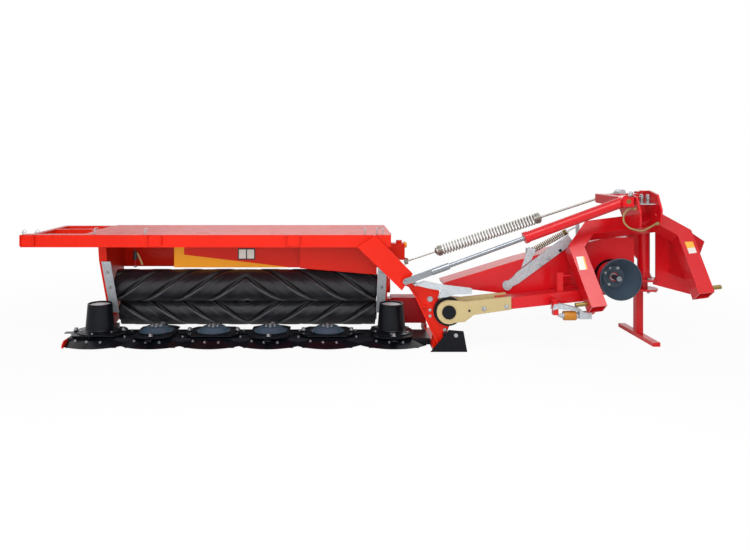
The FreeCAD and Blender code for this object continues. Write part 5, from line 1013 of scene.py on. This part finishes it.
# flat stand-in for the oblique plate that ties the column's web to the headstock; the solids have none
gussetSet = {
    "x": 0.150,
    "thick": 0.012,
    "bevel": 0.001,
    "webY": -0.131,
    "webEnds": (0.760, 0.480),
    "front": ((-0.406, 0.470), (-0.361, 0.545), (-0.312, 0.572), (-0.282, 0.612), (-0.262, 0.655),
              (-0.270, 0.690), (-0.240, 0.740)),  # Y and Z, as the rest of the outline
}
gussetOutline = [(gussetSet["webY"], z) for z in gussetSet["webEnds"]] + list(gussetSet["front"])
gussetFrame = Matrix(((0, 0, 1, gussetSet["x"]), (1, 0, 0, 0), (0, 1, 0, 0), (0, 0, 0, 1)))
gussetMesh = bevelledPlate("legGusset", gussetOutline, gussetSet["thick"], gussetFrame, gussetSet["bevel"])
newPiece("legGusset", gussetMesh, "headstock", "crimsonEnamel")
print("headstock details on")


# cover: spring clips, and the hanging prop inside its outer end
clipSet = {
    "wire": 1.8 * millimetre,
    "stem": 3.5 * millimetre,
    "shape": ((0, 0, 0.030), (0.004, 0, 0.040), (0.016, 0, 0.044), (0.024, 0, 0.034), (0.018, 0, 0.024),
              (0.002, 0, 0.022), (-0.012, 0, 0.026)),
    "places": ((-4.262, -0.385, 0.764, 0), (-4.175, -0.385, 0.764, 0), (-3.800, -0.345, 0.774, 0.4),
               (-3.452, -0.385, 0.774, 0.2), (-1.985, -0.330, 0.774, 2.8), (-1.865, -0.330, 0.774, 2.4),
               (-1.905, -0.300, 0.774, 0.6)),  # X, Y, Z and turn in radians
}
stems, wires = [], []
for k, (x, y, z, turn) in enumerate(clipSet["places"]):
    place = Matrix.Translation((x, y, z)) @ Matrix.Rotation(turn, 4, "Z")
    r = clipSet["stem"]
    profile = ((0, 0), (r * 2, 0), (r * 2, 0.004), (r, 0.005), (r, 0.036), (r - 0.001, 0.038), (0, 0.038))
    stems.append(lathe(f"stem{k}", profile, place, 16))
    wires.append(bentWire(f"wire{k}", clipSet["shape"], clipSet["wire"], place))
newPiece("clipStems", joinedMesh("clipStems", stems), "mower", "zincSteel")
newPiece("clipWires", joinedMesh("clipWires", wires), "mower", "zincSteel")

propSet = {
    "x": -3.640,
    "y": 0.050,
    "top": 0.7695,
    "low": 0.500,
    "radius": 0.0055,
    "sleeve": ((0.0055, 0), (0.014, 0), (0.0155, 0.004), (0.0155, 0.058), (0.014, 0.062), (0.0055, 0.062)),
    "sleeveUp": 0.045,
    "tip": ((0, 0), (0.009, 0.001), (0.011, 0.007), (0.009, 0.014), (0, 0.016)),
    "tipDown": 0.012,
    "strap": ((0.010, 0.098), (0.022, 0.080), (0.038, 0.045), (0.052, 0.008)),  # X and Z from the rod's foot
    "strapRadius": 0.007,
}
x, y, top, low, r = (propSet[key] for key in ("x", "y", "top", "low", "radius"))
rodMesh = lathe("propRod", ((0, 0), (r, 0), (r, top - low), (0, top - low)), Matrix.Translation((x, y, low)),
    16)
sleeveMesh = lathe("propSleeve", propSet["sleeve"], Matrix.Translation((x, y, low + propSet["sleeveUp"])), 24)
tipMesh = lathe("propTip", propSet["tip"], Matrix.Translation((x, y, low - propSet["tipDown"])), 20)
newPiece("propRod", rodMesh, "mower", "darkRedEnamel")
newPiece("propSleeve", sleeveMesh, "mower", "rollerRubber")
newPiece("propTip", tipMesh, "mower", "zincSteel")
strapPoints = [(x + across, y, low + up) for across, up in propSet["strap"]]
strapMesh = bentWire("propStrap", strapPoints, propSet["strapRadius"], Matrix.Identity(4))
newPiece("propStrap", strapMesh, "mower", "tanHose")
print("cover details on")

capSet = {
    "place": (-1.678, 0.110, 0.645),
    "facing": (1, 0, 0),
    "profile": ((0, 0), (0.026, 0), (0.026, 0.004), (0.022, 0.006), (0.021, 0.016), (0.017, 0.021), (0, 0.023)),
}
capMesh = lathe("fillerCap", capSet["profile"], toward(capSet["place"], capSet["facing"]), 24)
newPiece("fillerCap", capMesh, "mower", "yellowEnamel")
print("filler cap on")

low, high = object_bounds()
